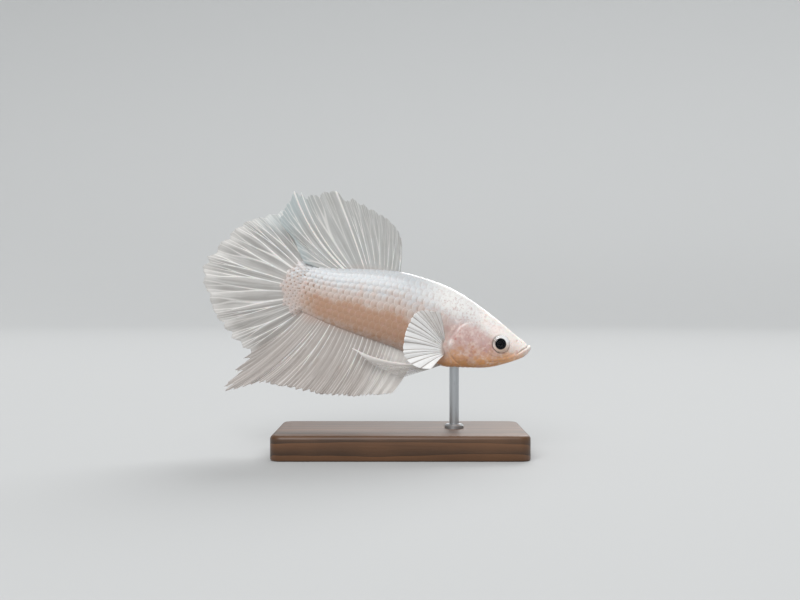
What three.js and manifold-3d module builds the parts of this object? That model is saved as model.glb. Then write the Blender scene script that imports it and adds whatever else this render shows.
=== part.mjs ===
// A short-finned white betta (Betta splendens), life size, on a plain display stand.
// Millimetres, +Z up. The head points along +X and a little down, the fish's left side is +Y,
// and the origin is on the floor under the middle of the whole model.
import * as THREE from "three";
import { mergeVertices } from "three/addons/utils/BufferGeometryUtils.js";
import Module from "manifold-3d";

const wasm = await Module();
wasm.setup();

// ---------- driving dimensions ----------
const LENGTH = 45; // snout to the end of the fleshy tail stem; every outline below is a share of it
const PITCH = THREE.MathUtils.degToRad(15); // how far the head points down
const TAIL_SWING = 1.5; // how far the tail stem's end is swung to the left
const SWING_START = 0.3; // the share of the length where the swing begins
const GAP = 0.2; // clearance between neighbouring pieces
const FIN_THICKNESS = 0.6;
const PLEAT_DEPTH = 0.3; // half the height of a fin's folds at its edge
const BODY_RINGS = 26;
const BODY_SIDES = 24;

const BASE = { length: 46, width: 25, height: 4.5, edge: 0.6, corner: 2.2, ahead: 10 };
const ROD = { radius: 0.9, sides: 18, socket: 2, inFlesh: 1.2, at: 0.293 };
const CLEARANCE = 6; // from the top of the base to the lowest fin

// ---------- curves ----------
// A smooth curve through [x, y, ...] rows: returns x => y, or x => [y, z, ...] for wider rows.
function through(rows) {
  const width = rows[0].length - 1;
  const slope = (i, k) => {
    const a = rows[Math.max(0, i - 1)];
    const b = rows[Math.min(rows.length - 1, i + 1)];
    return (b[k] - a[k]) / (b[0] - a[0]);
  };
  return (x) => {
    const i = Math.max(1, Math.min(rows.length - 1, rows.findIndex((row) => row[0] >= x)));
    const last = x > rows[rows.length - 1][0] ? rows.length - 1 : i;
    const [a, b] = [rows[last - 1], rows[last]];
    const span = b[0] - a[0];
    const u = (x - a[0]) / span;
    const values = [];
    for (let k = 1; k <= width; k++) {
      const [ma, mb] = [slope(last - 1, k) * span, slope(last, k) * span];
      const rise = b[k] - a[k];
      values.push(a[k] + u * ma + u * u * (3 * rise - 2 * ma - mb) + u ** 3 * (ma + mb - 2 * rise));
    }
    return width === 1 ? values[0] : values;
  };
}

const ease = (from, to, x) => THREE.MathUtils.smoothstep(x, from, to);

// ---------- the fish's own frame ----------
// s runs back from the snout along the body, h up at right angles to it, both as shares of LENGTH;
// y runs to the fish's left in millimetres, from the middle of the body.
const swing = (s) => TAIL_SWING * (Math.max(0, s - SWING_START) / (1 - SWING_START)) ** 2;

function place(s, y, h) {
  const [back, up] = [s * LENGTH, h * LENGTH];
  return new THREE.Vector3(
    up * Math.sin(PITCH) - back * Math.cos(PITCH),
    y + swing(s),
    back * Math.sin(PITCH) + up * Math.cos(PITCH),
  );
}

// ---------- the body's outline ----------
const SNOUT_ROUND = 0.022; // the length of the rounded snout
const STEM_ROUND = 0.075; // the length of the rounded end of the tail stem
const BODY_END = 1.03;
const topLine = through([
  [0, 0.013], [0.03, 0.023], [0.08, 0.044], [0.15, 0.077], [0.24, 0.115], [0.34, 0.149],
  [0.44, 0.1665], [0.6, 0.17], [0.74, 0.146], [0.88, 0.112], [1, 0.1], [1.04, 0.096],
]);
const bottomLine = through([
  [0, -0.022], [0.03, -0.05], [0.08, -0.084], [0.15, -0.121], [0.24, -0.146], [0.33, -0.165],
  [0.44, -0.158], [0.56, -0.142], [0.74, -0.129], [0.88, -0.114], [1, -0.09], [1.04, -0.08],
]);
const halfWidth = through([
  [0, 0.022], [0.03, 0.033], [0.08, 0.046], [0.15, 0.06], [0.24, 0.072], [0.33, 0.077],
  [0.44, 0.073], [0.6, 0.06], [0.74, 0.047], [0.88, 0.034], [1, 0.022], [1.04, 0.018],
]);
const widestAt = through([
  [0, 0], [0.08, -0.015], [0.2, -0.028], [0.34, -0.03], [0.5, -0.01], [0.74, 0.005], [1.04, 0.005],
]);
const fullness = through([[0, 2.1], [0.15, 2.35], [0.35, 2.15], [0.7, 2], [1.04, 2]]);

// How far the section at s has closed: 0 at the two ends, 1 along the body.
function rounding(s) {
  const front = Math.min(1, s / SNOUT_ROUND);
  const rear = Math.min(1, (BODY_END - s) / STEM_ROUND);
  return Math.sqrt(1 - (1 - front) ** 2) * Math.sqrt(1 - (1 - rear) ** 2);
}

// The point of the body's surface at s, turn radians round from the back towards the left side.
function bodyPoint(s, turn, grow = 0) {
  const [c, n, round] = [Math.cos(turn), Math.sin(turn), rounding(s)];
  const middle = widestAt(s);
  const reach = (c > 0 ? topLine(s) - middle : middle - bottomLine(s)) * round + grow / LENGTH;
  const power = 2 / fullness(s);
  const y = (halfWidth(s) * round * LENGTH + grow) * Math.sign(n) * Math.abs(n) ** power;
  return [s, y, middle + reach * Math.sign(c) * Math.abs(c) ** power];
}

// ---------- meshes and solids ----------
function solidOf(positions, faces) {
  const make = (triVerts) =>
    new wasm.Manifold(new wasm.Mesh({ numProp: 3, vertProperties: new Float32Array(positions), triVerts }));
  const triVerts = new Uint32Array(faces);
  const made = make(triVerts);
  return made.volume() > 0 ? made : make(triVerts.reverse());
}

function solidFromGeometry(geometry) {
  const bare = geometry.clone();
  bare.deleteAttribute("normal");
  bare.deleteAttribute("uv");
  const merged = mergeVertices(bare, 1e-4);
  return solidOf(merged.attributes.position.array, merged.index.array);
}

function geometryOf(solid) {
  const mesh = solid.getMesh();
  const positions = [];
  for (let i = 0; i < mesh.numVert; i++)
    positions.push(...mesh.vertProperties.subarray(i * mesh.numProp, i * mesh.numProp + 3));
  const geometry = new THREE.BufferGeometry();
  geometry.setAttribute("position", new THREE.Float32BufferAttribute(positions, 3));
  geometry.setIndex(new THREE.BufferAttribute(mesh.triVerts, 1));
  geometry.computeVertexNormals();
  return geometry;
}

// The whole body as one closed shell of rings, with a pole at the snout and one at the tail stem's end.
function bodySolid(grow = 0) {
  const positions = [];
  const faces = [];
  positions.push(...place(-grow / LENGTH, 0, 0));
  for (let i = 1; i < BODY_RINGS; i++) {
    const s = (BODY_END * (1 - Math.cos((Math.PI * i) / BODY_RINGS))) / 2;
    for (let j = 0; j < BODY_SIDES; j++)
      positions.push(...place(...bodyPoint(s, (2 * Math.PI * j) / BODY_SIDES, grow)));
  }
  positions.push(...place(BODY_END + grow / LENGTH, 0, widestAt(BODY_END)));
  const last = positions.length / 3 - 1;
  const at = (i, j) => 1 + i * BODY_SIDES + (j % BODY_SIDES);
  for (let j = 0; j < BODY_SIDES; j++) {
    faces.push(0, at(0, j), at(0, j + 1));
    faces.push(last, at(BODY_RINGS - 2, j + 1), at(BODY_RINGS - 2, j));
    for (let i = 0; i < BODY_RINGS - 2; i++) {
      faces.push(at(i, j), at(i + 1, j), at(i + 1, j + 1));
      faces.push(at(i, j), at(i + 1, j + 1), at(i, j + 1));
    }
  }
  return solidOf(positions, faces);
}

// A prism with an outline drawn on the fish's side, from y = from to y = to.
function sidePrism(outline, from, to) {
  const shape = new THREE.Shape(outline.map(([s, h]) => new THREE.Vector2(s, h)));
  const geometry = new THREE.ExtrudeGeometry(shape, { depth: to - from, bevelEnabled: false });
  const position = geometry.attributes.position;
  for (let i = 0; i < position.count; i++) {
    const [s, h, y] = [position.getX(i), position.getY(i), position.getZ(i) + from];
    position.setXYZ(i, ...place(s, y, h));
  }
  return solidFromGeometry(geometry);
}

// A closed smooth outline through a few points, drawn larger by grow millimetres about its middle.
function loop(points, count, grow = 0) {
  const curve = new THREE.CatmullRomCurve3(points.map(([s, h]) => new THREE.Vector3(s, h, 0)), true);
  const round = curve.getPoints(count).slice(0, -1);
  const middle = round.reduce((sum, p) => sum.add(p), new THREE.Vector3()).divideScalar(round.length);
  return round.map((p) => {
    const out = p.clone().sub(middle);
    p.add(out.setLength(grow / LENGTH));
    return [p.x, p.y];
  });
}

// ---------- fins ----------
// A fin is a folded sheet. ray(t) gives the foot, the tip and the bow of the ray at t, from 0 at the
// front or top edge to 1 at the rear or bottom edge, and side(t, r) is where the sheet stands
// sideways, r being 0 at the foot of a ray and 1 at its tip.
function finSolid(ray, side, columns, rows) {
  const positions = [];
  for (const face of [-1, 1])
    for (let i = 0; i <= columns; i++) {
      const t = i / columns;
      const { foot, tip, bow } = ray(t);
      const [ds, dh] = [tip[0] - foot[0], tip[1] - foot[1]];
      for (let j = 0; j <= rows; j++) {
        const r = j / rows;
        const bulge = bow * 4 * r * (1 - r);
        const y = side(t, r) + (face * FIN_THICKNESS) / 2;
        positions.push(...place(foot[0] + ds * r - dh * bulge, y, foot[1] + dh * r + ds * bulge));
      }
    }
  const stride = rows + 1;
  const sheet = stride * (columns + 1);
  const faces = [];
  const quad = (a, b, c, d) => faces.push(a, b, c, a, c, d);
  for (let i = 0; i < columns; i++)
    for (let j = 0; j < rows; j++) {
      const a = i * stride + j;
      quad(a, a + 1, a + stride + 1, a + stride);
      quad(sheet + a, sheet + a + stride, sheet + a + stride + 1, sheet + a + 1);
    }
  for (let i = 0; i < columns; i++) {
    const [near, far] = [i * stride, i * stride + rows];
    quad(near, near + stride, sheet + near + stride, sheet + near);
    quad(far, sheet + far, sheet + far + stride, far + stride);
  }
  for (let j = 0; j < rows; j++) {
    const front = j;
    const rear = columns * stride + j;
    quad(front, sheet + front, sheet + front + 1, front + 1);
    quad(rear, rear + 1, sheet + rear + 1, sheet + rear);
  }
  return solidOf(positions, faces);
}

// Folds that run along the rays and grow towards the edge.
const pleats = (count, shift = 0) => (t, r) =>
  PLEAT_DEPTH * r * Math.sin(2 * Math.PI * (count * t + shift)) * ease(0, 0.08, t) * ease(0, 0.08, 1 - t);

const FOOT_DEPTH = 0.03; // how far a fin's feet reach into the flesh

// Rows: t, the foot's place along the body, then the tip's s and h.
const dorsalRays = through([
  [0, 0.6, 0.63, 0.29], [0.1, 0.625, 0.658, 0.33], [0.2, 0.65, 0.702, 0.358],
  [0.3, 0.675, 0.765, 0.383], [0.4, 0.7, 0.832, 0.399], [0.47, 0.715, 0.88, 0.409],
  [0.5, 0.722, 0.898, 0.391], [0.54, 0.733, 0.94, 0.417], [0.62, 0.755, 0.997, 0.401],
  [0.72, 0.78, 1.066, 0.373], [0.8, 0.8, 1.12, 0.368], [0.84, 0.808, 1.13, 0.31],
  [0.9, 0.818, 1.137, 0.24], [0.95, 0.825, 1.06, 0.18], [1, 0.83, 1, 0.1],
]);
const analRays = through([
  [0, 0.455, 0.507, -0.326], [0.15, 0.53, 0.58, -0.351], [0.3, 0.61, 0.66, -0.377],
  [0.44, 0.69, 0.75, -0.397], [0.56, 0.76, 0.85, -0.41], [0.67, 0.82, 0.957, -0.415],
  [0.77, 0.86, 1.053, -0.428], [0.86, 0.89, 1.148, -0.485], [0.92, 0.91, 1.201, -0.496],
  [0.96, 0.925, 1.168, -0.402], [1, 0.94, 1.122, -0.314],
]);
// Rows: t, then the tip's s and h.
const caudalTips = through([
  [0, 1.13, 0.301], [0.12, 1.206, 0.2535], [0.25, 1.283, 0.2], [0.37, 1.352, 0.116],
  [0.47, 1.398, 0.03], [0.55, 1.408, -0.057], [0.64, 1.352, -0.136], [0.76, 1.288, -0.22],
  [0.88, 1.217, -0.276], [1, 1.132, -0.315],
]);
const pectoralTips = through([
  [0, 0.407, 0.049], [0.16, 0.465, 0.041], [0.3, 0.502, 0.02], [0.45, 0.516, -0.03],
  [0.6, 0.518, -0.085], [0.74, 0.509, -0.142], [0.85, 0.478, -0.174], [0.94, 0.426, -0.186],
  [1, 0.38, -0.177],
]);
const pelvicTips = through([
  [0, 0.724, -0.181], [0.35, 0.665, -0.206], [0.6, 0.6, -0.232], [1, 0.484, -0.25],
]);

function dorsalRay(t) {
  const [foot, s, h] = dorsalRays(t);
  return { foot: [foot, topLine(foot) - FOOT_DEPTH], tip: [s, h], bow: 0.03 * (1 - t) };
}

function analRay(t) {
  const [foot, s, h] = analRays(t);
  return { foot: [foot, bottomLine(foot) + FOOT_DEPTH], tip: [s, h], bow: -0.05 };
}

function caudalRay(t) {
  const turn = THREE.MathUtils.degToRad(82 - 164 * t);
  const foot = [0.93 + 0.06 * Math.cos(turn), 0.004 + 0.08 * Math.sin(turn)];
  return { foot, tip: caudalTips(t), bow: 0.05 * (0.5 - t) };
}

function pectoralRay(t) {
  const foot = [0.348 + 0.006 * Math.cos(Math.PI * t), -0.062 - 0.05 * t];
  return { foot, tip: pectoralTips(t), bow: 0.03 };
}

function pelvicRay(t) {
  return { foot: [0.352 - 0.014 * t, -0.15 - 0.008 * t], tip: pelvicTips(t), bow: -0.06 * (1 - t) };
}

// Where each fin stands sideways. The tail fin is swung away from the rear corners of the other two.
const dorsalFolds = pleats(9, 0.2);
const analFolds = pleats(13, 0.1);
const caudalFolds = pleats(12);
const pectoralFolds = pleats(7);
const dorsalSide = (t, r) => dorsalFolds(t, r) - 1.15 * r * r * ease(0.6, 0.95, t);
const analSide = (t, r) => analFolds(t, r) - 1.05 * r * r * ease(0.7, 0.97, t);
const caudalSide = (t, r) => caudalFolds(t, r) + 0.95 * r + 0.7 * r * Math.abs(2 * t - 1) ** 3;
const pectoralSpread = (t, r) => 2.85 + 4.2 * r ** 0.9 + 0.5 * Math.sin(Math.PI * t) * r;
const pectoralSide = (t, r) => pectoralSpread(t, r) + pectoralFolds(t, r);
const pelvicSide = (t, r) => 0.75 + 1.0 * ease(0, 0.45, r) + 0.2 * r * Math.sin(Math.PI * t);
const mirrored = (side) => (t, r) => -side(t, r);

// ---------- the flesh and its parts ----------
// Outlines on the side of the head.
const GILL_COVER = [
  [0.262, 0.045], [0.306, 0.02], [0.331, -0.028], [0.334, -0.07], [0.316, -0.108], [0.28, -0.132],
  [0.24, -0.132], [0.208, -0.095], [0.2, -0.045], [0.222, 0.015],
];
const MOUTH = [[0.013, 0.011], [0.036, -0.012], [0.055, -0.036], [0.09, -0.058]];
const JAW_REAR = 0.108; // where the jaw ends under the cheek
const UPPER_LIP = [0.018, 0.05]; // the upper lip stops short of the lower one, below this point
const NAPE = [[0.365, 0.3], [0.315, -0.3]]; // the cut behind the head, from the back to the throat
const STEM_CUT = [[0.8, 0.3], [0.8, -0.3]]; // the cut in front of the tail stem
const GILL_DEPTH = 0.55; // the gill cover's inner face, as a share of the body's half width
const GILL_LIFT = 0.18; // how far the gill cover stands proud of the head
const FAR = 20; // beyond the fish on every side, in millimetres
const EYE = { s: 0.131, h: -0.013, y: 1.72, radius: 1.62, depth: 1.22, sides: 18, rings: 8 };

// Everything in front of a cut, or behind it, with half the gap left off.
function fromCut([[topS, topH], [lowS, lowH]], isFront) {
  const shift = ((isFront ? -1 : 1) * GAP) / 2 / LENGTH;
  const end = isFront ? -1 : 2;
  return sidePrism([[topS + shift, topH], [lowS + shift, lowH], [end, lowH], [end, topH]], -FAR, FAR);
}

function gillPrism(side, grow) {
  const inner = GILL_DEPTH * halfWidth(0.28) * LENGTH - grow;
  const [from, to] = side > 0 ? [inner, FAR] : [-FAR, -inner];
  return sidePrism(loop(GILL_COVER, 22, grow), from, to);
}

function eyeSolid(side, grow = 0) {
  const ball = new THREE.SphereGeometry(1, EYE.sides, EYE.rings); // its poles face left and right
  ball.scale(EYE.radius + grow, EYE.depth + grow, EYE.radius + grow);
  const middle = place(EYE.s, side * EYE.y, EYE.h);
  ball.translate(middle.x, middle.y, middle.z);
  return solidFromGeometry(ball);
}

const whole = bodySolid();
const outer = bodySolid(GAP);
const underMouth = (mouth, rear) => [...mouth, [rear, -0.2], [-0.03, -0.2]];
const jawPrism = sidePrism([[-0.03, MOUTH[0][1]], ...underMouth(MOUTH, JAW_REAR)], -FAR, FAR);
const roomAbove = MOUTH.map(([s, h]) => [s + GAP / LENGTH / 2, h + GAP / LENGTH]);
const jawRoom = sidePrism(
  [[-0.03, UPPER_LIP[1]], UPPER_LIP, ...underMouth(roomAbove, JAW_REAR + GAP / LENGTH)],
  -FAR,
  FAR,
);
const SIDES = { right: -1, left: 1 };

let core = whole.subtract(jawRoom);
for (const side of Object.values(SIDES))
  core = core.subtract(gillPrism(side, GAP)).subtract(eyeSolid(side, GAP));

// ---------- the stand ----------
const rodTop = place(ROD.at, 0, bottomLine(ROD.at) + ROD.inFlesh / LENGTH);

function rodGeometry(bottom, top, radius) {
  const rod = new THREE.CylinderGeometry(radius, radius, top - bottom, ROD.sides);
  rod.rotateX(Math.PI / 2);
  rod.translate(rodTop.x, 0, (top + bottom) / 2);
  return rod;
}

function baseGeometry() {
  const outline = new THREE.Shape();
  const [x, y, round] = [BASE.length / 2 - BASE.corner, BASE.width / 2 - BASE.corner, BASE.corner - BASE.edge];
  [[x, y], [-x, y], [-x, -y], [x, -y]].forEach(([cx, cy], quarter) => {
    outline.absarc(cx, cy, round, (quarter * Math.PI) / 2, ((quarter + 1) * Math.PI) / 2);
  });
  const slab = new THREE.ExtrudeGeometry(outline, {
    depth: BASE.height - 2 * BASE.edge,
    bevelThickness: BASE.edge,
    bevelSize: BASE.edge,
    bevelSegments: 2,
    curveSegments: 6,
  });
  slab.translate(rodTop.x - BASE.ahead, 0, BASE.edge);
  return slab;
}

// ---------- the scene graph ----------
function finish(color, roughness, metalness = 0) {
  return new THREE.MeshStandardMaterial({ color, roughness, metalness });
}

const skin = finish(0xe6d3cb, 0.45);
const throat = finish(0xd9a67c, 0.45);
const membrane = finish(0xdedbda, 0.5);
const eyeball = finish(0x2b3036, 0.15);
const walnut = finish(0x5b3c26, 0.5);
const steel = finish(0xb9bcc0, 0.3, 1);

const betta = new THREE.Group();

function addPart(name, solid, material) {
  const mesh = new THREE.Mesh(solid.isBufferGeometry ? solid : geometryOf(solid), material);
  mesh.name = name;
  betta.add(mesh);
  return mesh;
}

function buildFlesh() {
  const behindHead = core.intersect(fromCut(NAPE, false));
  const rodRoom = solidFromGeometry(rodGeometry(rodTop.z - FAR, rodTop.z + GAP, ROD.radius + GAP));
  const throatAndHead = core.intersect(fromCut(NAPE, true)).subtract(rodRoom);
  addPart("head", throatAndHead, skin);
  addPart("lower_jaw", whole.intersect(jawPrism), throat);
  addPart("trunk", behindHead.intersect(fromCut(STEM_CUT, true)).subtract(rodRoom), skin);
  addPart("tail_stem", behindHead.intersect(fromCut(STEM_CUT, false)), skin);
  const puffed = bodySolid(GILL_LIFT);
  for (const [name, side] of Object.entries(SIDES)) {
    addPart(`gill_cover_${name}`, puffed.intersect(gillPrism(side, 0)), skin);
    addPart(`eye_${name}`, eyeSolid(side), eyeball);
  }
}

function buildFins() {
  addPart("dorsal_fin", finSolid(dorsalRay, dorsalSide, 40, 5).subtract(outer), membrane);
  addPart("anal_fin", finSolid(analRay, analSide, 52, 4).subtract(outer), membrane);
  addPart("caudal_fin", finSolid(caudalRay, caudalSide, 48, 4).subtract(outer), membrane);
  for (const [name, side] of Object.entries(SIDES)) {
    const turned = side > 0 ? [pectoralSide, pelvicSide] : [mirrored(pectoralSide), mirrored(pelvicSide)];
    addPart(`pectoral_fin_${name}`, finSolid(pectoralRay, turned[0], 22, 3).subtract(outer), membrane);
    addPart(`pelvic_fin_${name}`, finSolid(pelvicRay, turned[1], 5, 7).subtract(outer), membrane);
  }
}

// Stands the finished fish on its rod: the base's top is CLEARANCE below the lowest fin.
function buildStand() {
  const lowestFin = new THREE.Box3().setFromObject(betta).min.z;
  const floor = lowestFin - CLEARANCE - BASE.height;
  const slab = baseGeometry().translate(0, 0, floor);
  const foot = floor + BASE.height - ROD.socket;
  const socket = rodGeometry(foot - GAP, foot + FAR, ROD.radius + GAP / 2);
  addPart("stand_base", solidFromGeometry(slab).subtract(solidFromGeometry(socket)), walnut);
  addPart("stand_rod", rodGeometry(foot, rodTop.z, ROD.radius), steel);
}

buildFlesh();
buildFins();
buildStand();

const reach = new THREE.Box3().setFromObject(betta);
const middle = reach.getCenter(new THREE.Vector3());
betta.position.set(-middle.x, -middle.y, -reach.min.z);

export default betta;
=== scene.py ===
# %% [markdown]
# # A white short-finned betta on a display stand
# The solids of the fish and its stand are already made and packed, in metres, and this lesson dresses
# them. A fish could be sculpted by hand, but its body follows a few smooth curves: the back, the belly,
# the width. So every surface here is a function of a place on the body, and the folds of the head, the
# scales and the fins are all worked out from that one description.

# %% Load the frame
import math
import bpy
import numpy as np
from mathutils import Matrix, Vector


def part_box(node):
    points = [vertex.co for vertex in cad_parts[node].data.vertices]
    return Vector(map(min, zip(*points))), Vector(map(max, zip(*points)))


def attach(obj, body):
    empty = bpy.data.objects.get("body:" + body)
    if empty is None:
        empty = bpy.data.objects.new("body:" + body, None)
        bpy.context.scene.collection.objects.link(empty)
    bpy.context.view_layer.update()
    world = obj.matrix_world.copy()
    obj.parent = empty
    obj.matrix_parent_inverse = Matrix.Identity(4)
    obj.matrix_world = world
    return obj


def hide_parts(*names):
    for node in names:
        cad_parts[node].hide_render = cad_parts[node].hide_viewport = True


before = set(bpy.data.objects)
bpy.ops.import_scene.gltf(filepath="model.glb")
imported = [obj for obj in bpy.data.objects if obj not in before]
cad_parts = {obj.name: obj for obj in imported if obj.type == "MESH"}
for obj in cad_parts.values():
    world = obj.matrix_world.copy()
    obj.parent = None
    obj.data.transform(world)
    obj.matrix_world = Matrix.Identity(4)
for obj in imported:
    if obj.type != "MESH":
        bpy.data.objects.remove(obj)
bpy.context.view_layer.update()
MM = 0.001

# %% [markdown]
# ## Where the fish is
# Every outline is a share of the fish's length, measured from the tip of its lower jaw: s runs back
# along the body and h up, at right angles to it. The length itself could be typed in, but the frame
# already holds it: the eye sits at a known share of the length behind the jaw, so the distance between
# the two gives the whole. y is in millimetres, to the fish's left.

# %% The fish's own coordinates
PITCH = math.radians(15)  # how far the head points down
EYE_S, EYE_H = 0.131, -0.013
TAIL_SWING, SWING_START = 1.5, 0.3  # mm to the left at the end of the tail stem, and where it begins


def read(data, key, width=1):
    """The numbers that a mesh's vertices or an attribute's data hold under key, width to a row."""
    flat = np.empty(width * len(data), np.float32)
    data.foreach_get(key, flat)
    return flat.reshape(-1, width).astype(float) if width > 1 else flat


def box_mm(node):
    return [np.array(corner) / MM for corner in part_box(node)]


jaw = read(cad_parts["lower_jaw"].data.vertices, "co", 3) / MM
SNOUT = jaw[jaw[:, 0].argmax()]
eye_low, eye_high = box_mm("eye_right")
EYE_MIDDLE = (eye_low + eye_high) / 2
EYE_RADIUS = (eye_high[0] - eye_low[0]) / 2
LENGTH = math.hypot(*(EYE_MIDDLE - SNOUT)[[0, 2]]) / math.hypot(EYE_S, EYE_H)
print(f"length {LENGTH:.2f} mm, jaw at {SNOUT.round(2)}, eye radius {EYE_RADIUS:.2f} mm")


# %% To the frame and back
def swing(s):
    return TAIL_SWING * (np.maximum(0, s - SWING_START) / (1 - SWING_START)) ** 2


def place(s, y, h):
    """Points in the frame, in millimetres, from places on the fish."""
    back, up = s * LENGTH, h * LENGTH
    x = SNOUT[0] + up * math.sin(PITCH) - back * math.cos(PITCH)
    z = SNOUT[2] + back * math.sin(PITCH) + up * math.cos(PITCH)
    return np.stack(np.broadcast_arrays(x, SNOUT[1] + y + swing(s), z), -1)


def shares(points):
    """The other way round: s and h of points in the frame."""
    x, z = points[:, 0] - SNOUT[0], points[:, 2] - SNOUT[2]
    s = (z * math.sin(PITCH) - x * math.cos(PITCH)) / LENGTH
    h = (z * math.cos(PITCH) + x * math.sin(PITCH)) / LENGTH
    return s, h


print("the eye lies at", [round(float(value[0]), 3) for value in shares(EYE_MIDDLE[None])])

# %% [markdown]
# ## The camera
# The fish is seen from its right side, level with its body, from between four and five body lengths
# away. A normal lens at that distance draws the near pectoral fin hardly larger than the tail, as the
# eye sees a small fish in a tank. The view takes in the stand and some of the floor round it.

# %% Set up the camera
VIEW_DISTANCE = 4.59 * LENGTH
AIM_BACK, AIM_UP = 0.541 * LENGTH, 0.202 * LENGTH  # the middle of the view, behind and above the jaw
camera_data = bpy.data.cameras.new("camera")
camera_data.lens, camera_data.sensor_width = 50, 36
camera_data.clip_start = 0.01
camera = bpy.data.objects.new("camera", camera_data)
camera.location = (SNOUT + np.array([-AIM_BACK, -VIEW_DISTANCE, AIM_UP])) * MM
camera.rotation_euler = (math.radians(90), 0, 0)
bpy.context.collection.objects.link(camera)
bpy.context.scene.camera = camera
bpy.context.scene.view_settings.view_transform = "Standard"
print("camera", [round(x, 4) for x in camera.location])

# %% [markdown]
# ## Nodes, colours and meshes
# A material is a small tree of nodes, and a finish of this fish takes dozens of them. They could be
# drawn in the shader editor. Written down, each takes one line, if one helper makes a node, sets it and
# links it. Colours are written as hex, as on screen, and turned to the linear values that light needs.
# A mesh is a list of points and a list of faces. Every form here is a grid of points, closed at its ends
# by fans or by flat faces, so two small functions list the faces of them all.

# %% Add a node, or a colour
RGBA = {"data_type": "RGBA"}
SMOOTH = {"interpolation_type": "SMOOTHSTEP"}
PLUS, MINUS, TIMES, TIMES_PLUS, ROOT = (
    {"operation": name} for name in ("ADD", "SUBTRACT", "MULTIPLY", "MULTIPLY_ADD", "SQRT")
)


def srgb(text):
    """A hex colour as linear RGBA."""
    values = [int(text[i : i + 2], 16) / 255 for i in (1, 3, 5)]
    return (*(v / 12.92 if v <= 0.04045 else ((v + 0.055) / 1.055) ** 2.4 for v in values), 1.0)


def add(tree, kind, settings=None, *values, **inputs):
    """Adds a node with its settings, and its inputs in order or by name.

    An input is a plain value, another node's output, or a node, which stands for its first output."""
    made = tree.nodes.new(kind)
    for name, value in (settings or {}).items():
        setattr(made, name, value)
    given = list(zip(made.inputs, values))
    for name, value in inputs.items():
        keys = (name, name.replace("_", " "))
        found = (s for s in made.inputs if s.enabled and (s.identifier in keys or s.name in keys))
        given.append((next(found), value))
    for socket, value in given:
        if isinstance(value, bpy.types.Node):
            value = next(output for output in value.outputs if output.enabled)
        if isinstance(value, bpy.types.NodeSocket):
            tree.links.new(value, socket)
        else:
            socket.default_value = value
    return made


print("white is", [round(x, 3) for x in srgb("#ffffff")], "and mid grey is", round(srgb("#808080")[0], 3))


# %% Make a material or a mesh, and mark its vertices
def new_material(name):
    material = bpy.data.materials.new(name)
    material.use_nodes = True
    material.node_tree.nodes.clear()
    return material, material.node_tree


def new_object(name, vertices, faces, material=None, edges=()):
    """A smooth mesh object at the origin, from vertices in millimetres."""
    mesh = bpy.data.meshes.new(name)
    mesh.from_pydata((np.asarray(vertices) * MM).tolist(), edges, [list(map(int, f)) for f in faces])
    mesh.validate()
    mesh.polygons.foreach_set("use_smooth", [True] * len(mesh.polygons))
    if material:
        mesh.materials.append(material)
    made = bpy.data.objects.new(name, mesh)
    bpy.context.collection.objects.link(made)
    return made


def set_mask(item, name, values):
    """Stores a number, or a row of three, for each vertex, for the nodes to read."""
    values = np.asarray(values, np.float32)
    kind, key = ("FLOAT", "value") if values.ndim == 1 else ("FLOAT_VECTOR", "vector")
    attribute = item.data.attributes.get(name) or item.data.attributes.new(name, kind, "POINT")
    attribute.data.foreach_set(key, values.ravel())


def finish_piece(item, slot, *nodes):
    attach(item, "root")
    if nodes:
        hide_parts(*nodes)
    print(item.name, len(item.data.polygons), "faces")


print("materials so far:", len(bpy.data.materials))


# %% Faces of a grid and of a fan
def grid_faces(rows, count, first=0, closed=True):
    """Faces between rows of count vertices each. In a closed grid each row's ends meet."""
    grid = first + np.arange(rows * count).reshape(rows, count)
    if closed:
        grid = np.hstack([grid, grid[:, :1]])
    corners = (grid[:-1, :-1], grid[:-1, 1:], grid[1:, 1:], grid[1:, :-1])
    return np.stack(corners, -1).reshape(-1, 4)


def fan(tip, ring):
    """Triangles from one vertex to each side of a closed ring."""
    return np.column_stack([np.full(len(ring), tip), ring, np.roll(ring, -1)])


print("faces of a closed grid of 3 by 4 vertices:", len(grid_faces(3, 4)))

# %% [markdown]
# ## The floor and the lamps
# A white fish on a white floor would vanish, so the floor is a pale grey that still lets the fins stand
# out. It is a round sheet of painted paper that curves up into a low wall, so it has no corner. Two
# wide lamps, one from each side and above, light both flanks alike, and a weak one overhead and an even
# sky fill the rest. Wide lamps give soft shadows, so the folds of the fins read without hard lines.

# %% The floor
# Matt painted paper: no gloss at all, only an even grey.
floor_material, tree = new_material("painted_paper_backdrop")
paper = add(tree, "ShaderNodeBsdfPrincipled", Base_Color=srgb("#bcbebf"), Roughness=0.9)
add(tree, "ShaderNodeOutputMaterial", Surface=paper)


def backdrop():
    """A round floor that curves up into a wall all the way round. Its sizes are in metres."""
    flat, curve, top, sides = 1.0, 0.6, 0.62, 96
    profile = [(0.2, 0.0), (0.6, 0.0)]
    for turn in np.radians(np.linspace(0, 90, 13)):
        profile.append((flat + curve * math.sin(turn), curve * (1 - math.cos(turn))))
    profile.append((flat + curve, top))
    angle = np.arange(sides) * 2 * math.pi / sides
    vertices = [(0, 0, 0)] + [(r * math.cos(a), r * math.sin(a), z) for r, z in profile for a in angle]
    faces = [*fan(0, 1 + np.arange(sides)), *grid_faces(len(profile), sides, first=1)[:, ::-1]]
    return new_object("floor", np.array(vertices) / MM, faces, floor_material)


backdrop()
print("the floor is laid")


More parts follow.
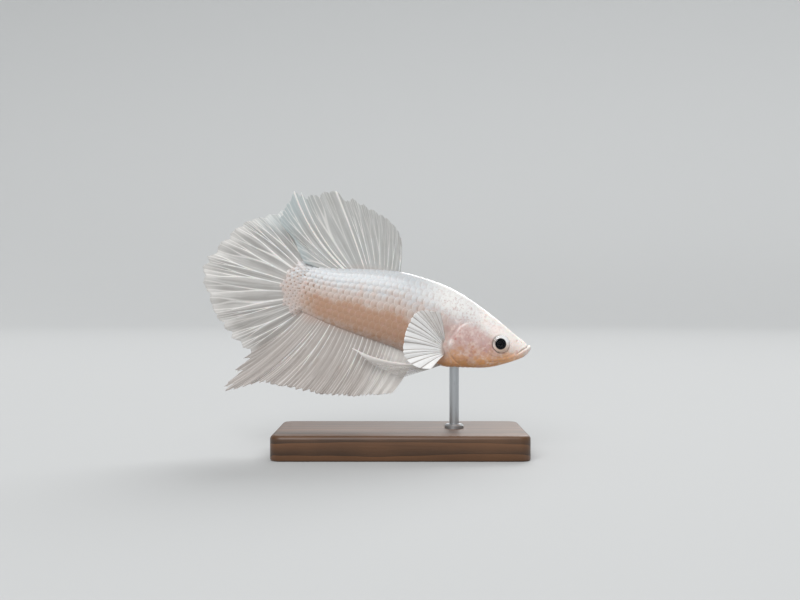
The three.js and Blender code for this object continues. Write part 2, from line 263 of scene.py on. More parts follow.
# %% The lamps
def lamp(name, aim, spread, strength):
    """A wide soft lamp, far off, that shines along aim. Its spread is in degrees."""
    data = bpy.data.lights.new(name, "SUN")
    data.energy, data.angle = strength, math.radians(spread)
    made = bpy.data.objects.new(name, data)
    made.rotation_mode = "QUATERNION"
    made.rotation_quaternion = Vector(aim).to_track_quat("-Z", "Y")
    bpy.context.collection.objects.link(made)


lamp("right_key", (0.25, 0.85, -0.75), 40, 2.0)
lamp("left_key", (-0.25, -0.85, -0.75), 40, 1.7)
lamp("overhead", (0.0, 0.1, -1.0), 60, 0.3)
world = bpy.data.worlds.new("studio")
bpy.context.scene.world = world
world.use_nodes = True
sky = world.node_tree.nodes["Background"]
sky.inputs["Color"].default_value = srgb("#f4f3f1")
sky.inputs["Strength"].default_value = 0.45
print("lamps:", len(bpy.data.lights))

# %% [markdown]
# ## The outline of the body
# A real fish's body is one smooth spindle. It is drawn here by four curves along its length: the line
# of the back, the line of the belly, the half width, and the height at which it is widest. A fifth says
# how square each cross-section is. A curve through a few rows is enough, because the body has no corners.
# These are the same rows as in the solids, so that the skin lies just inside them.


# %% Curves through a few rows
def through(*rows):
    """A smooth curve through rows of (x, y) or (x, y, z): returns x -> y, or x -> [y, z]."""
    table = np.array(rows, float)
    x, y = table[:, 0], table[:, 1:]
    below = np.maximum(np.arange(len(x)) - 1, 0)
    above = np.minimum(np.arange(len(x)) + 1, len(x) - 1)
    slope = (y[above] - y[below]) / (x[above] - x[below])[:, None]

    def curve(at):
        at = np.asarray(at, float)
        i = np.clip(np.searchsorted(x, at), 1, len(x) - 1)
        span = (x[i] - x[i - 1])[..., None]
        u = (at - x[i - 1])[..., None] / span
        rise, start, end = y[i] - y[i - 1], slope[i - 1] * span, slope[i] * span
        value = y[i - 1] + u * start + u**2 * (3 * rise - 2 * start - end) + u**3 * (start + end - 2 * rise)
        return value[..., 0] if y.shape[1] == 1 else value

    return curve


def ease(start, end, x):
    """0 before start, 1 after end, and a smooth rise between."""
    u = np.clip((x - start) / (end - start), 0, 1)
    return u * u * (3 - 2 * u)


def mound(x, width):
    """A smooth bump: 1 at 0, and nearly gone at twice the width."""
    return np.exp(-((x / width) ** 2))


print("half way up a rise:", ease(0, 1, 0.5), "and one width from a mound's top:", round(mound(1, 1), 2))

# %% The body's lines and sections
SNOUT_ROUND, STEM_ROUND, BODY_END = 0.022, 0.075, 1.03
top_line = through(
    (0, 0.013), (0.03, 0.023), (0.08, 0.044), (0.15, 0.077), (0.24, 0.115), (0.34, 0.149),
    (0.44, 0.1665), (0.6, 0.17), (0.74, 0.146), (0.88, 0.112), (1, 0.1), (1.04, 0.096),
)
bottom_line = through(
    (0, -0.022), (0.03, -0.05), (0.08, -0.084), (0.15, -0.121), (0.24, -0.146), (0.33, -0.165),
    (0.44, -0.158), (0.56, -0.142), (0.74, -0.129), (0.88, -0.114), (1, -0.09), (1.04, -0.08),
)
half_width = through(
    (0, 0.022), (0.03, 0.033), (0.08, 0.046), (0.15, 0.06), (0.24, 0.072), (0.33, 0.077),
    (0.44, 0.073), (0.6, 0.06), (0.74, 0.047), (0.88, 0.034), (1, 0.022), (1.04, 0.018),
)
widest_at = through(
    (0, 0), (0.08, -0.015), (0.2, -0.028), (0.34, -0.03), (0.5, -0.01), (0.74, 0.005), (1.04, 0.005)
)
fullness = through((0, 2.1), (0.15, 2.35), (0.35, 2.15), (0.7, 2), (1.04, 2))


def rounding(s):
    """How far the section at s has closed: 0 at the two ends, 1 along the body."""
    front = np.clip(s / SNOUT_ROUND, 0, 1)
    rear = np.clip((BODY_END - s) / STEM_ROUND, 0, 1)
    return np.sqrt(1 - (1 - front) ** 2) * np.sqrt(1 - (1 - rear) ** 2)


def body(s, turn, grow=0.0):
    """y and h of the body at s, turn radians round from the back towards the left side."""
    c, n, closed = np.cos(turn), np.sin(turn), rounding(s)
    middle = widest_at(s)
    reach = np.where(c > 0, top_line(s) - middle, middle - bottom_line(s)) * closed + grow / LENGTH
    power = 2 / fullness(s)
    y = (half_width(s) * closed * LENGTH + grow) * np.sign(n) * np.abs(n) ** power
    return y, middle + reach * np.sign(c) * np.abs(c) ** power


print("deepest:", round(float((top_line(0.44) - bottom_line(0.44)) * LENGTH), 1), "mm")

# %% [markdown]
# ## Lines and distances on the head
# The mouth, the gill cover, the cheek and the jaw are lines on the side of the head. Each could be a
# curve object. Here it is a few points, smoothed, and a function that tells how far any place lies from
# it, on which side, and how far along. Everything that follows the line is then a formula of those.

# %% The lines, in shares of the length
MOUTH = [(0.0135, 0.03), (0.0145, 0.014), (0.02, 0.003), (0.036, -0.013), (0.052, -0.034)]
GILL_COVER = [  # a closed loop
    (0.262, 0.045), (0.306, 0.02), (0.331, -0.028), (0.334, -0.07), (0.316, -0.108), (0.28, -0.132),
    (0.24, -0.132), (0.208, -0.095), (0.2, -0.045), (0.222, 0.015),
]
CHEEK_FOLD = [(0.06, -0.03), (0.09, -0.056), (0.13, -0.07), (0.175, -0.062), (0.2, -0.03)]
JAW_FOLD = [(0.055, -0.05), (0.085, -0.07), (0.12, -0.085), (0.16, -0.098)]
CREASE = [(0.187, 0.044), (0.232, 0.047), (0.276, 0.041), (0.307, 0.012), (0.318, -0.012)]
NOSTRILS = [(0.066, 0.019, 0.17), (0.047, 0.016, 0.1)]  # s, h and radius in mm


def smooth_path(points, count=60, closed=False):
    """A finer path through points (s, h)."""
    points = np.array(points, float)
    if closed:
        points = np.vstack([points[-1], points, points[0], points[1]])
    along = np.arange(len(points))
    curve = through(*np.column_stack([along, points]))
    ends = (1, len(points) - 2) if closed else (0, len(points) - 1)
    return curve(np.linspace(*ends, count + 1))


mouth, cheek_fold, jaw_fold, crease_line = map(smooth_path, (MOUTH, CHEEK_FOLD, JAW_FOLD, CREASE))
gill_cover = smooth_path(GILL_COVER, 90, closed=True)
print("points along the gill cover:", len(gill_cover))


# %% Distances from a line or a point
def from_path(path, s, h):
    """Distance in mm from places (s, h) to a path, its side (+ on the left of its run) and how far along."""
    a, b = path[:-1] * LENGTH, path[1:] * LENGTH
    px, pz = (s * LENGTH)[:, None], (h * LENGTH)[:, None]
    dx, dz = (b - a).T
    u = np.clip(((px - a[:, 0]) * dx + (pz - a[:, 1]) * dz) / (dx**2 + dz**2), 0, 1)
    ex, ez = px - a[:, 0] - u * dx, pz - a[:, 1] - u * dz
    distance = np.hypot(ex, ez)
    nearest = distance.argmin(1)
    rows = np.arange(len(s))
    side = np.sign(dx[nearest] * ez[rows, nearest] - dz[nearest] * ex[rows, nearest])
    return distance[rows, nearest], side, (nearest + u[rows, nearest]) / len(a)


def from_point(at, s, h):
    return np.hypot(s - at[0], h - at[1]) * LENGTH


def patches(s, h, *spots):
    """Soft round patches, added up. Each is s, h, a radius in mm and a strength."""
    total = np.zeros(len(s))
    for at_s, at_h, radius, strength in spots:
        total += strength * mound(from_point((at_s, at_h), s, h), radius)
    return total


print("eye to jaw:", round(float(from_point((EYE_S, EYE_H), 0.0, 0.0)), 1), "mm")

# %% [markdown]
# ## The folds of the head
# The head has thin lips that turn upwards, two nostrils, a gill cover with a free rear edge, soft folds
# under the throat, and sockets for the eyes. They could be cut into the mesh with booleans, which leaves
# messy edges on a soft form. Here each one is a height in millimetres as a function of the place on the
# head, added up and applied along the surface's normal, so that all of them melt into one skin.

# %% Eye sockets and mouth
SOCKET_DEPTH = 0.6


def eye_relief(s, h):
    away = from_point((EYE_S, EYE_H), s, h)
    socket = -SOCKET_DEPTH * (1 - ease(EYE_RADIUS - 0.18, EYE_RADIUS - 0.04, away))
    return socket + 0.07 * mound(away - EYE_RADIUS - 0.26, 0.16) + 0.05 * mound(away - EYE_RADIUS - 0.7, 0.4)


def mouth_relief(s, h):
    away, side, along = from_path(mouth, s, h)
    corner = 1 - ease(0.8, 1.0, along) * 0.75
    cleft = -0.34 * mound(away, 0.1) * corner
    lower_lip = 0.13 * mound(away - 0.33, 0.24) * (side < 0)
    upper_lip = 0.06 * mound(away - 0.36, 0.22) * (side > 0)
    set_back = -0.2 * (side > 0) * mound(away, 0.75) * (1 - ease(0.25, 0.6, along))
    return cleft + (lower_lip + upper_lip) * corner + set_back


print("sockets are", SOCKET_DEPTH, "mm deep")


# %% Gill cover, folds and shoulder
def gill_relief(s, h):
    """The cover's rear edge stands free over a slit. Its front edge is only a faint groove."""
    away, side, _ = from_path(gill_cover, s, h)
    inside = away * np.where(side < 0, 1, -1)
    rear = ease(0.215, 0.3, s) * ease(-0.16, -0.12, h)
    lifted = 0.1 * ease(-0.05, 0.9, inside)
    slit = -0.11 * mound(inside + 0.1, 0.13)
    front = 1 - ease(0.2, 0.26, s)
    return (lifted + slit) * rear - 0.05 * mound(inside, 0.18) * front * (h > -0.14)


def fold_relief(s, h):
    total = np.zeros(len(s))
    for path, high, width in ((cheek_fold, -0.045, 0.18), (jaw_fold, -0.06, 0.15), (crease_line, 0.03, 0.17)):
        total += high * mound(from_path(path, s, h)[0], width)
    throat = ease(-0.125, -0.14, h) * ease(0.12, 0.17, s) * (1 - ease(0.3, 0.34, s))
    total += 0.02 * throat * np.sin(s * LENGTH * 2 * math.pi / 0.9 + h * 60)  # folds 0.9 mm apart
    for at_s, at_h, radius in NOSTRILS:
        away = from_point((at_s, at_h), s, h)
        total += -0.16 * mound(away, radius) + 0.02 * mound(away - 1.7 * radius, 0.6 * radius)
    return total


def shoulder_relief(s, h):
    """The fleshy lobe that carries the pectoral fin."""
    lobe = mound(np.hypot((s - 0.352) / 0.02, (h + 0.088) / 0.036), 0.9)
    knob = mound(np.hypot((s - 0.334) / 0.008, (h + 0.06) / 0.015), 0.9)
    return 0.32 * lobe + 0.1 * knob


def total_relief(s, h):
    height = np.zeros(len(s))
    front = s < 0.42
    for relief in (eye_relief, mouth_relief, gill_relief, fold_relief, shoulder_relief):
        height[front] += relief(s[front], h[front])
    return height


print("relief at the eye's middle:", total_relief(np.array([EYE_S]), np.array([EYE_H])).round(2), "mm")

# %% [markdown]
# ## One skin for all the flesh
# The solids part the flesh into head, jaw, gill covers, trunk and tail stem. A live fish shows no such
# seams, so one closed skin replaces them all. It is a loft of rings, packed closely on the head, where
# the detail is, and wider apart on the trunk, which the scales will cover. It lies 0.12 mm inside the
# solids, the depth that the scales fill.

# %% Where the rings lie
COAT = 0.12
RING_SIDES = 264
head_rings = 0.34 * (np.arange(1, 176) / 175) ** 1.35
trunk_rings = np.linspace(0.34, 0.96, 86)[1:]
end_rings = 0.96 + (BODY_END - 0.96) * np.sin(np.arange(1, 22) / 22 * math.pi / 2)
RINGS = np.concatenate([head_rings, trunk_rings, end_rings])
print("rings:", len(RINGS), "of", RING_SIDES, "points")


# %% Loft the skin
def loft_skin():
    """The skin, and s and h of each of its vertices."""
    turn = np.arange(RING_SIDES) * 2 * math.pi / RING_SIDES
    s, turns = np.meshgrid(RINGS, turn, indexing="ij")
    y, h = body(s, turns, -COAT)
    grid = place(s, y, h)
    along = np.gradient(grid, axis=0)
    around = np.roll(grid, -1, axis=1) - np.roll(grid, 1, axis=1)
    normal = np.cross(around, along)
    normal = (normal / np.linalg.norm(normal, axis=2, keepdims=True)).reshape(-1, 3)
    s, h = s.ravel(), h.ravel()
    points = grid.reshape(-1, 3) + normal * total_relief(s, h)[:, None]
    middle_end = float(widest_at(BODY_END))
    front = place(COAT / LENGTH, 0.0, 0.0)
    back = place(BODY_END - COAT / LENGTH, 0.0, middle_end)
    ring, count = np.arange(RING_SIDES), len(points)
    closing = [*fan(count, ring)[:, ::-1], *fan(count + 1, count - RING_SIDES + ring)]
    faces = [*grid_faces(len(RINGS), RING_SIDES), *closing]
    item = new_object("skin", np.vstack([points, front, back]), faces)
    return item, np.append(s, [0.001, BODY_END]), np.append(h, [0.0, middle_end])


skin, skin_s, skin_h = loft_skin()
print("skin vertices:", len(skin.data.vertices))

# %% [markdown]
# ## Where the colours lie
# The fish is platinum white: a layer of reflecting cells covers the back and the top of the head. Lower
# down it thins out, and the pink and tan of the flesh shows. The throat is warmest. An image could be
# painted for this, but one function that says how strong each colour is at any place on the body has no
# seam and no edge. The skin and the scales both ask it, so a marking runs through both without a break.

# %% Flecks, shadows and pale lines
FLUSHES = [  # small red flecks: s, h and radius in mm
    (0.236, -0.052, 0.16), (0.242, -0.09, 0.2), (0.302, -0.018, 0.25), (0.316, -0.04, 0.2),
    (0.11, 0.012, 0.16), (0.225, -0.07, 0.13), (0.247, -0.11, 0.14), (0.066, 0.019, 0.1),
    (0.047, 0.016, 0.06),
]


def pocket_shade(s, up, white, tan_and_gill_cover_shade):
    """The shadow under a scale's root: plain on the upper flank, strong near the tail, faint on the nape."""
    shade = 0.1 + 0.45 * mound(up - 0.54, 0.22) * ease(0.3, 0.5, s)
    shade = shade * (1 - 0.6 * white * (1 - ease(0.4, 0.6, s)))
    rear = 0.62 * ease(0.84, 0.96, s) * (1 - ease(0.8, 0.95, up))
    nape = 0.14 * mound(s - 0.42, 0.13) * ease(0.55, 0.7, up) * (1 - ease(0.88, 0.97, up))
    return np.clip(shade + rear - 0.3 * tan_and_gill_cover_shade * (s < 0.9) + nape, 0, 1)


def crease_light(s, h):
    """Pale lines and patches at the upper edge of the gill cover."""
    pale = np.zeros(len(s))
    near = (s > 0.15) & (s < 0.36) & (np.abs(h) < 0.1)
    pale[near] = 0.5 * mound(from_path(crease_line, s[near], h[near])[0], 0.13)
    pale = np.maximum(pale, 0.95 * mound(np.hypot((s - 0.333) / 0.008, (h + 0.06) / 0.016), 0.9))
    return pale + patches(s, h, (0.224, 0.002, 1.4, 0.3), (0.265, 0.045, 1.8, 0.35))


print("red flecks:", len(FLUSHES))


# %% How strong each colour is
def markings(s, h):
    """How strong each colour is, from 0 to 1, at places on the body."""
    top, bottom = top_line(s), bottom_line(s)
    up = (h - bottom) / (top - bottom)
    head, jaw, root = 1 - ease(0.26, 0.36, s), 1 - ease(0.06, 0.13, s), ease(0.95, 1.02, s)
    wave = 0.03 * np.sin(s * 70) * np.sin(s * 31 + 1)
    white = ease(0.5, 0.84, up + wave) * (1 - head) + ease(0.57, 0.83, up + 0.35 * (0.2 - s) + wave) * head
    white = white * (1 - 0.3 * root) + 0.3 * root * (1 - white)
    tan_and_gill_cover_shade = (1 - ease(0.36, 0.56, up + wave)) * ease(0.33, 0.46, s)
    tan_and_gill_cover_shade = tan_and_gill_cover_shade * (1 - 0.7 * ease(0.88, 1.0, s)) * (0.4 + 0.6 * ease(0.0, 0.17, up))
    # The patch at s 0.255 is painted shade: the lower gill cover faces down, away from the light.
    tan_and_gill_cover_shade = tan_and_gill_cover_shade + patches(s, h, (0.135, -0.06, 1.7, 0.4), (0.175, -0.02, 1.6, 0.15), (0.255, -0.08, 2.4, 0.4))
    ivory = white * (1 - ease(0.36, 0.56, s)) * np.clip(head + ease(0.55, 0.75, up), 0, 1)
    level = up + 0.2 * (s - 0.16) + 0.8 * np.clip(s - 0.25, 0, 1) + wave - 0.14 * jaw
    warm = (1 - ease(0.12, 0.46, level)) * (1 - ease(0.33, 0.42, s)) * ease(0.012, 0.04, s)
    rosy = patches(s, h, (0.245, -0.05, 3.8, 1.0), (0.16, -0.045, 2.4, 0.6), (0.33, 0.035, 4.0, 0.45))
    lips = [patches(s, h, (0.008, -0.004, 1.35, 1.0)), patches(s, h, (0.052, -0.012, 1.6, 0.75))]
    lips.append(patches(s, h, (0.088, 0.0, 1.5, 0.85), (0.163, 0.03, 1.2, 0.8)))
    speck = mound(s - 0.3, 0.14) * ease(0.4, 0.56, up) * (1 - ease(0.9, 0.99, up)) + 0.25 * white * (1 - head)
    return {
        "white": white,
        "rosy": np.clip(rosy, 0, 1) * (1 - 0.6 * white),
        "tan_and_gill_cover_shade": tan_and_gill_cover_shade,
        "warm": warm,
        "ivory": ivory,
        "lip": np.max(lips, axis=0),
        "crease": crease_light(s, h),
        "flush": np.max([patches(s, h, (*fleck, 1.0)) for fleck in FLUSHES], axis=0),
        "pocket": pocket_shade(s, up, white, tan_and_gill_cover_shade),
        "speck": np.clip(speck, 0, 1),
        # rim: how strong the painted highlight along each scale's free edge is: strongest on the trunk, faint
        # on the head except high up, weaker over the tan
        "rim": (0.24 - 0.16 * tan_and_gill_cover_shade) * np.clip(ease(0.31, 0.42, s) + 0.3 * ease(0.6, 0.75, up), 0.1, 1),
    }


def set_markings(item, s, h, skip=""):
    for name, values in markings(s, h).items():
        if name != skip:
            set_mask(item, name, values)


set_markings(skin, skin_s, skin_h)
print("markings:", ", ".join(markings(np.array([0.5]), np.array([0.1]))))

# %% [markdown]
# ## The colours of the flesh
# Each marking is laid over the ones before it, as glazes of paint would be: pink cheeks first, then the
# warm throat, the tan flanks, which also carry a painted shade on the lower gill cover, and the white
# last. A cell of pigment is too small to see, but the edge where two colours meet is ragged. Noise could
# blur the whole; here it moves only the borders.

# %% Mix the colours
FLANK = "#c9b6ad"  # the pale pink flank, under all the others
LAYERS = {
    "rosy": "#c2a09c", "warm": "#e2a874", "tan_and_gill_cover_shade": "#b28a70", "white": "#c6c8cb", "ivory": "#f3efeb",
    "lip": "#f3e6df", "crease": "#eee6e2", "flush": "#b57168",
}
RAGGED = ("tan_and_gill_cover_shade", "rosy", "warm", "white")


def flesh_colour(tree):
    """The colour of the flesh, mixed from the markings."""
    where = add(tree, "ShaderNodeTexCoord").outputs["Object"]
    noise = add(tree, "ShaderNodeTexNoise", Vector=where, Scale=850.0, Detail=3.0, Roughness=0.6)
    uneven = add(tree, "ShaderNodeMath", MINUS, noise, 0.5)
    colour = srgb(FLANK)
    for name, tint in LAYERS.items():
        share = add(tree, "ShaderNodeAttribute", {"attribute_name": name}).outputs["Fac"]
        if name in RAGGED:
            rest = add(tree, "ShaderNodeMath", MINUS, 1.0, share)
            border = add(tree, "ShaderNodeMath", TIMES, share, rest)
            moved = add(tree, "ShaderNodeMath", TIMES, border, uneven)
            share = add(tree, "ShaderNodeMath", TIMES_PLUS, moved, 9.0, share)
        colour = add(tree, "ShaderNodeMix", RGBA, Factor_Float=share, A_Color=colour, B_Color=srgb(tint))
    return colour


def mottled(tree, colour, tint, scale, low, high, amount, mask=None, at=(1.0, 0.2)):
    """Breaks a colour up with soft blotches of another one, scale blotches to the metre.

    Where a mask is named, the blotches are as strong as at[0] outside it and at[1] in it."""
    where = add(tree, "ShaderNodeTexCoord").outputs["Object"]
    noise = add(tree, "ShaderNodeTexNoise", Vector=where, Scale=scale, Detail=3.0, Roughness=0.6)
    share = add(tree, "ShaderNodeMapRange", Value=noise, From_Min=low, From_Max=high, To_Max=amount)
    if mask:
        inside = add(tree, "ShaderNodeAttribute", {"attribute_name": mask}).outputs["Fac"]
        strength = add(tree, "ShaderNodeMapRange", Value=inside, To_Min=at[0], To_Max=at[1])
        share = add(tree, "ShaderNodeMath", TIMES, share, strength)
    return add(tree, "ShaderNodeMix", RGBA, Factor_Float=share, A_Color=colour, B_Color=srgb(tint))


def grain(tree, scale, detail, strength, distance, where=None):
    """Fine unevenness: a noise of scale grains to the metre, and the bump that it makes."""
    where = where or add(tree, "ShaderNodeTexCoord").outputs["Object"]
    noise = add(tree, "ShaderNodeTexNoise", Vector=where, Scale=scale, Detail=detail)
    return noise, add(tree, "ShaderNodeBump", Strength=strength, Distance=distance, Height=noise)


print("colour layers:", len(LAYERS))

# %% [markdown]
# ## The skin's finish
# Wet skin is soft and clear for a fraction of a millimetre, so a little of the light that goes in comes
# out again nearby. A thin clear coat gives the wet gloss. Small pits and grains in the bump keep the
# highlights from looking like plastic.

# %% Skin material
# Wet fish skin, grown and not made: mottles from 0.4 to 2 mm, soft light from within, a moist gloss.
skin_material, tree = new_material("wet_fish_skin")
colour = mottled(tree, flesh_colour(tree), "#c08f85", 1500, 0.54, 0.7, 0.6, "white")
colour = mottled(tree, colour, "#e0cfcb", 560, 0.5, 0.66, 0.48, "rosy", (0.1, 1.0))
colour = mottled(tree, colour, "#e6d6cf", 1050, 0.53, 0.7, 0.6)
colour = mottled(tree, colour, "#ab7772", 900, 0.56, 0.7, 0.5, "rosy", (0.0, 1.0))
colour = mottled(tree, colour, "#b98d88", 2400, 0.52, 0.68, 0.6, "speck", (0.0, 1.0))
pits, bump = grain(tree, 2600.0, 2.0, 0.35, 0.00006)
rough = add(tree, "ShaderNodeMapRange", Value=pits, To_Min=0.34, To_Max=0.5)
shader = add(
    tree, "ShaderNodeBsdfPrincipled", Base_Color=colour, Roughness=rough, Normal=bump,
    Subsurface_Weight=0.25, Subsurface_Scale=0.0008, Subsurface_Radius=(1.0, 0.45, 0.3),
    Coat_Weight=0.25, Coat_Roughness=0.2,
)
add(tree, "ShaderNodeOutputMaterial", Surface=shader)
skin.data.materials.append(skin_material)
finish_piece(skin, "skin", "head", "lower_jaw", "trunk", "tail_stem", "gill_cover_left", "gill_cover_right")

# %% [markdown]
# ## The scales
# About 27 scales lie along each flank, in rows that overlap like roof tiles, each row half a scale out
# of step with the next. They could be placed on the round body one by one, but it is easier to tile a
# flat sheet and then wrap it round the body. The sheet's x runs along the fish, its y round it, and its
# z outwards. Geometry Nodes puts one curved plate on each point of the sheet. Numpy then wraps it.

# %% A map from the sheet to the body
ROWS = 22  # rows of scales round the body
TABLE_S = np.linspace(0.02, BODY_END - 0.005, 260)


def arc_table(samples=181):
    """For each s, the turn at equal steps of the way round from the back to the belly, and the girth."""
    turn = np.linspace(0, math.pi, samples)
    s, turns = np.meshgrid(TABLE_S, turn, indexing="ij")
    y, h = body(s, turns, -COAT)
    step = np.hypot(np.diff(y, axis=1), np.diff(h * LENGTH, axis=1))
    arc = np.concatenate([np.zeros((len(TABLE_S), 1)), np.cumsum(step, axis=1)], axis=1)
    share = np.linspace(0, 1, samples)
    turns = np.array([np.interp(share, row / row[-1], turn) for row in arc])
    return turns, 2 * arc[:, -1]


TURNS, GIRTH = arc_table()


def turn_round(s, share):
    """The turn at a share of the girth: 0 and 1 are the back, 0.5 the belly."""
    side = np.abs(((share + 0.5) % 1) - 0.5) * 2
    row = np.clip(np.interp(s, TABLE_S, np.arange(len(TABLE_S))), 0, len(TABLE_S) - 1.001)
    col = np.clip(side * (TURNS.shape[1] - 1), 0, TURNS.shape[1] - 1.001)
    i, j = row.astype(int), col.astype(int)
    u, v = row - i, col - j
    turn = (TURNS[i, j] * (1 - v) + TURNS[i, j + 1] * v) * (1 - u)
    turn += (TURNS[i + 1, j] * (1 - v) + TURNS[i + 1, j + 1] * v) * u
    return np.where((share % 1) > 0.5, 2 * math.pi - turn, turn)


print("girth in mm at the gills and the stem:", np.interp([0.33, 0.9], TABLE_S, GIRTH).round(1))


# %% Wrap points round the body
def skin_point(s, turn):
    y, h = body(s, turn, -COAT)
    return place(s, y, h)


def wrap(s, share, lift):
    """Points of the sheet, lifted by lift mm, wrapped on the skin."""
    turn, step = turn_round(s, share), 1e-3
    here = skin_point(s, turn)
    along = skin_point(s + step, turn) - here
    around = skin_point(s, turn + step) - here
    normal = np.cross(around, along)
    normal /= np.linalg.norm(normal, axis=1, keepdims=True)
    return here + normal * (lift + total_relief(s, body(s, turn, -COAT)[1]))[:, None]


print("a point on the belly:", wrap(np.array([0.5]), np.array([0.5]), 0.0).round(2))

# %% [markdown]
# ## Where the scales go
# Scales are small behind the head, full-sized on the flank and small again at the tail. The gill cover
# and the nape have faint ones, the face has none. They could be laid everywhere and hidden, but it is
# cleaner to keep only the roots that are wanted, and to give each its own size.

# %% Pick the roots
scale_step = through((0.1, 0.8), (0.3, 1.0), (0.42, 1.13), (0.9, 1.13), (1.03, 0.85))  # mm apart, by s


def scale_stations():
    """Half steps along the body, in shares of the length."""
    stations = [0.13]
    while stations[-1] < 1.0:
        stations.append(stations[-1] + 0.5 * float(scale_step(stations[-1])) / LENGTH)
    return stations


def scale_roots():
    """s, share of the girth, h, middle and relief of every scale that is wanted."""
    spots = [
        (station, (row + 0.5) / ROWS)
        for column, station in enumerate(scale_stations()) for row in range(column % 2, ROWS, 2)
    ]
    s, share = np.array(spots).T
    middle, tip = s + 0.55 * scale_step(s) / LENGTH, s + 1.4 * scale_step(s) / LENGTH
    h = body(middle, turn_round(middle, share), -COAT)[1]
    tip_h = body(tip, turn_round(tip, share), -COAT)[1]
    up = (h - bottom_line(middle)) / (top_line(middle) - bottom_line(middle))
    root_side, tip_side = from_path(gill_cover, s, h)[1], from_path(gill_cover, tip, tip_h)[1]
    off_cover = (root_side > 0) & (tip_side > 0)
    trunk = (s > 0.352) | ((s > 0.3) & (h > -0.02) & off_cover)
    nape = (up > 0.68) & (s > 0.135)
    cover = (root_side < 0) & (tip_side < 0) & (h > -0.11) & (s > 0.205)
    lobe = from_point((0.356, -0.095), middle, h) < 1.9  # the pectoral fin's foot stays bare
    keep = (trunk & off_cover | nape | cover) & ~lobe & (s < 0.95)
    strength = np.where(cover, 0.1, 0.14 + 0.86 * ease(0.16, 0.44, s))
    return s[keep], share[keep], h[keep], middle[keep], strength[keep]


ROOT_S, ROOT_SHARE, ROOT_H, ROOT_MIDDLE, STRENGTH = scale_roots()
print("scales:", len(ROOT_S))

# %% [markdown]
# ## The finish of a scale
# A scale is clear horn over a layer of reflecting cells. It takes the colour of the flesh, is darker at
# its root, where the scale ahead shades it, and paler along its free edge, which catches the light. Each
# scale could be painted by hand. Here its vertices know how far they lie from its root, and the shader
# reads that.

# %% Scale material
# Pearly horn over a mirror layer: a smooth wet gloss, a painted shade at the root and a painted highlight
# along the free edge.
scale_material, tree = new_material("pearly_scale")
along, pocket, rim = (
    add(tree, "ShaderNodeAttribute", {"attribute_name": name}).outputs["Fac"]
    for name in ("along", "pocket", "rim")
)
colour = mottled(tree, flesh_colour(tree), "#c59a90", 1300, 0.52, 0.72, 0.45, "white")
colour = mottled(tree, colour, "#b98d88", 2400, 0.52, 0.68, 0.6, "speck", (0.0, 1.0))
colour = add(tree, "ShaderNodeMix", RGBA, Factor_Float=pocket, A_Color=colour, B_Color=srgb("#997d6c"))
# A painted highlight along each scale's free edge, as if it caught the light.
edge = add(tree, "ShaderNodeMapRange", SMOOTH, Value=along, From_Min=0.86, From_Max=0.99)
edge_highlight = add(tree, "ShaderNodeMath", TIMES, edge, rim)
colour = add(tree, "ShaderNodeMix", RGBA, Factor_Float=edge_highlight, A_Color=colour, B_Color=srgb("#f0ebe8"))
_, bump = grain(tree, 5000.0, 1.0, 0.25, 0.00004)
shader = add(
    tree, "ShaderNodeBsdfPrincipled", Base_Color=colour, Roughness=0.36, Normal=bump,
    Subsurface_Weight=0.15, Subsurface_Scale=0.0006, Subsurface_Radius=(1.0, 0.5, 0.35),
    Coat_Weight=0.35, Coat_Roughness=0.18, Sheen_Weight=0.1,
)
add(tree, "ShaderNodeOutputMaterial", Surface=shader)
print("nodes in the scale's material:", len(tree.nodes))

# %% [markdown]
# ## A tree of nodes that makes a mesh
# Geometry Nodes copies one shape on to many points at once. Its tree could stay on the object as a live
# modifier. Here it is run once, and what it makes becomes the object's own mesh, because the next step
# moves the vertices one by one.


# %% Make a node tree and run it
def node_tree(name, *inputs):
    """A new Geometry Nodes tree and its input node. Inputs are (name, kind)."""
    made = bpy.data.node_groups.new(name, "GeometryNodeTree")
    sockets = [("Geometry", "Geometry", "INPUT"), *((*given, "INPUT") for given in inputs)]
    for label, kind, direction in [*sockets, ("Geometry", "Geometry", "OUTPUT")]:
        made.interface.new_socket(label, in_out=direction, socket_type="NodeSocket" + kind)
    return made, made.nodes.new("NodeGroupInput")


def run_tree(item, group, **values):
    """Runs a node tree on an object and keeps what it makes as the object's own mesh."""
    modifier = item.modifiers.new("make", "NODES")
    modifier.node_group = group
    for socket in group.interface.items_tree:
        if socket.in_out == "INPUT" and socket.name in values:
            modifier[socket.identifier] = values[socket.name]
    evaluated = item.evaluated_get(bpy.context.evaluated_depsgraph_get())
    made = bpy.data.meshes.new_from_object(evaluated)
    item.modifiers.remove(modifier)
    item.data = made


print("node groups so far:", len(bpy.data.node_groups))

# %% [markdown]
# ## The shape of one scale
# A scale is a thin plate, rounded at its free edge and narrower at its root, and it bulges a little. It
# could be modelled once by hand. As a formula on a small grid, its length, width and lift can differ for
# every scale. The root lies at x 0, in the skin, and the free edge stands off it.


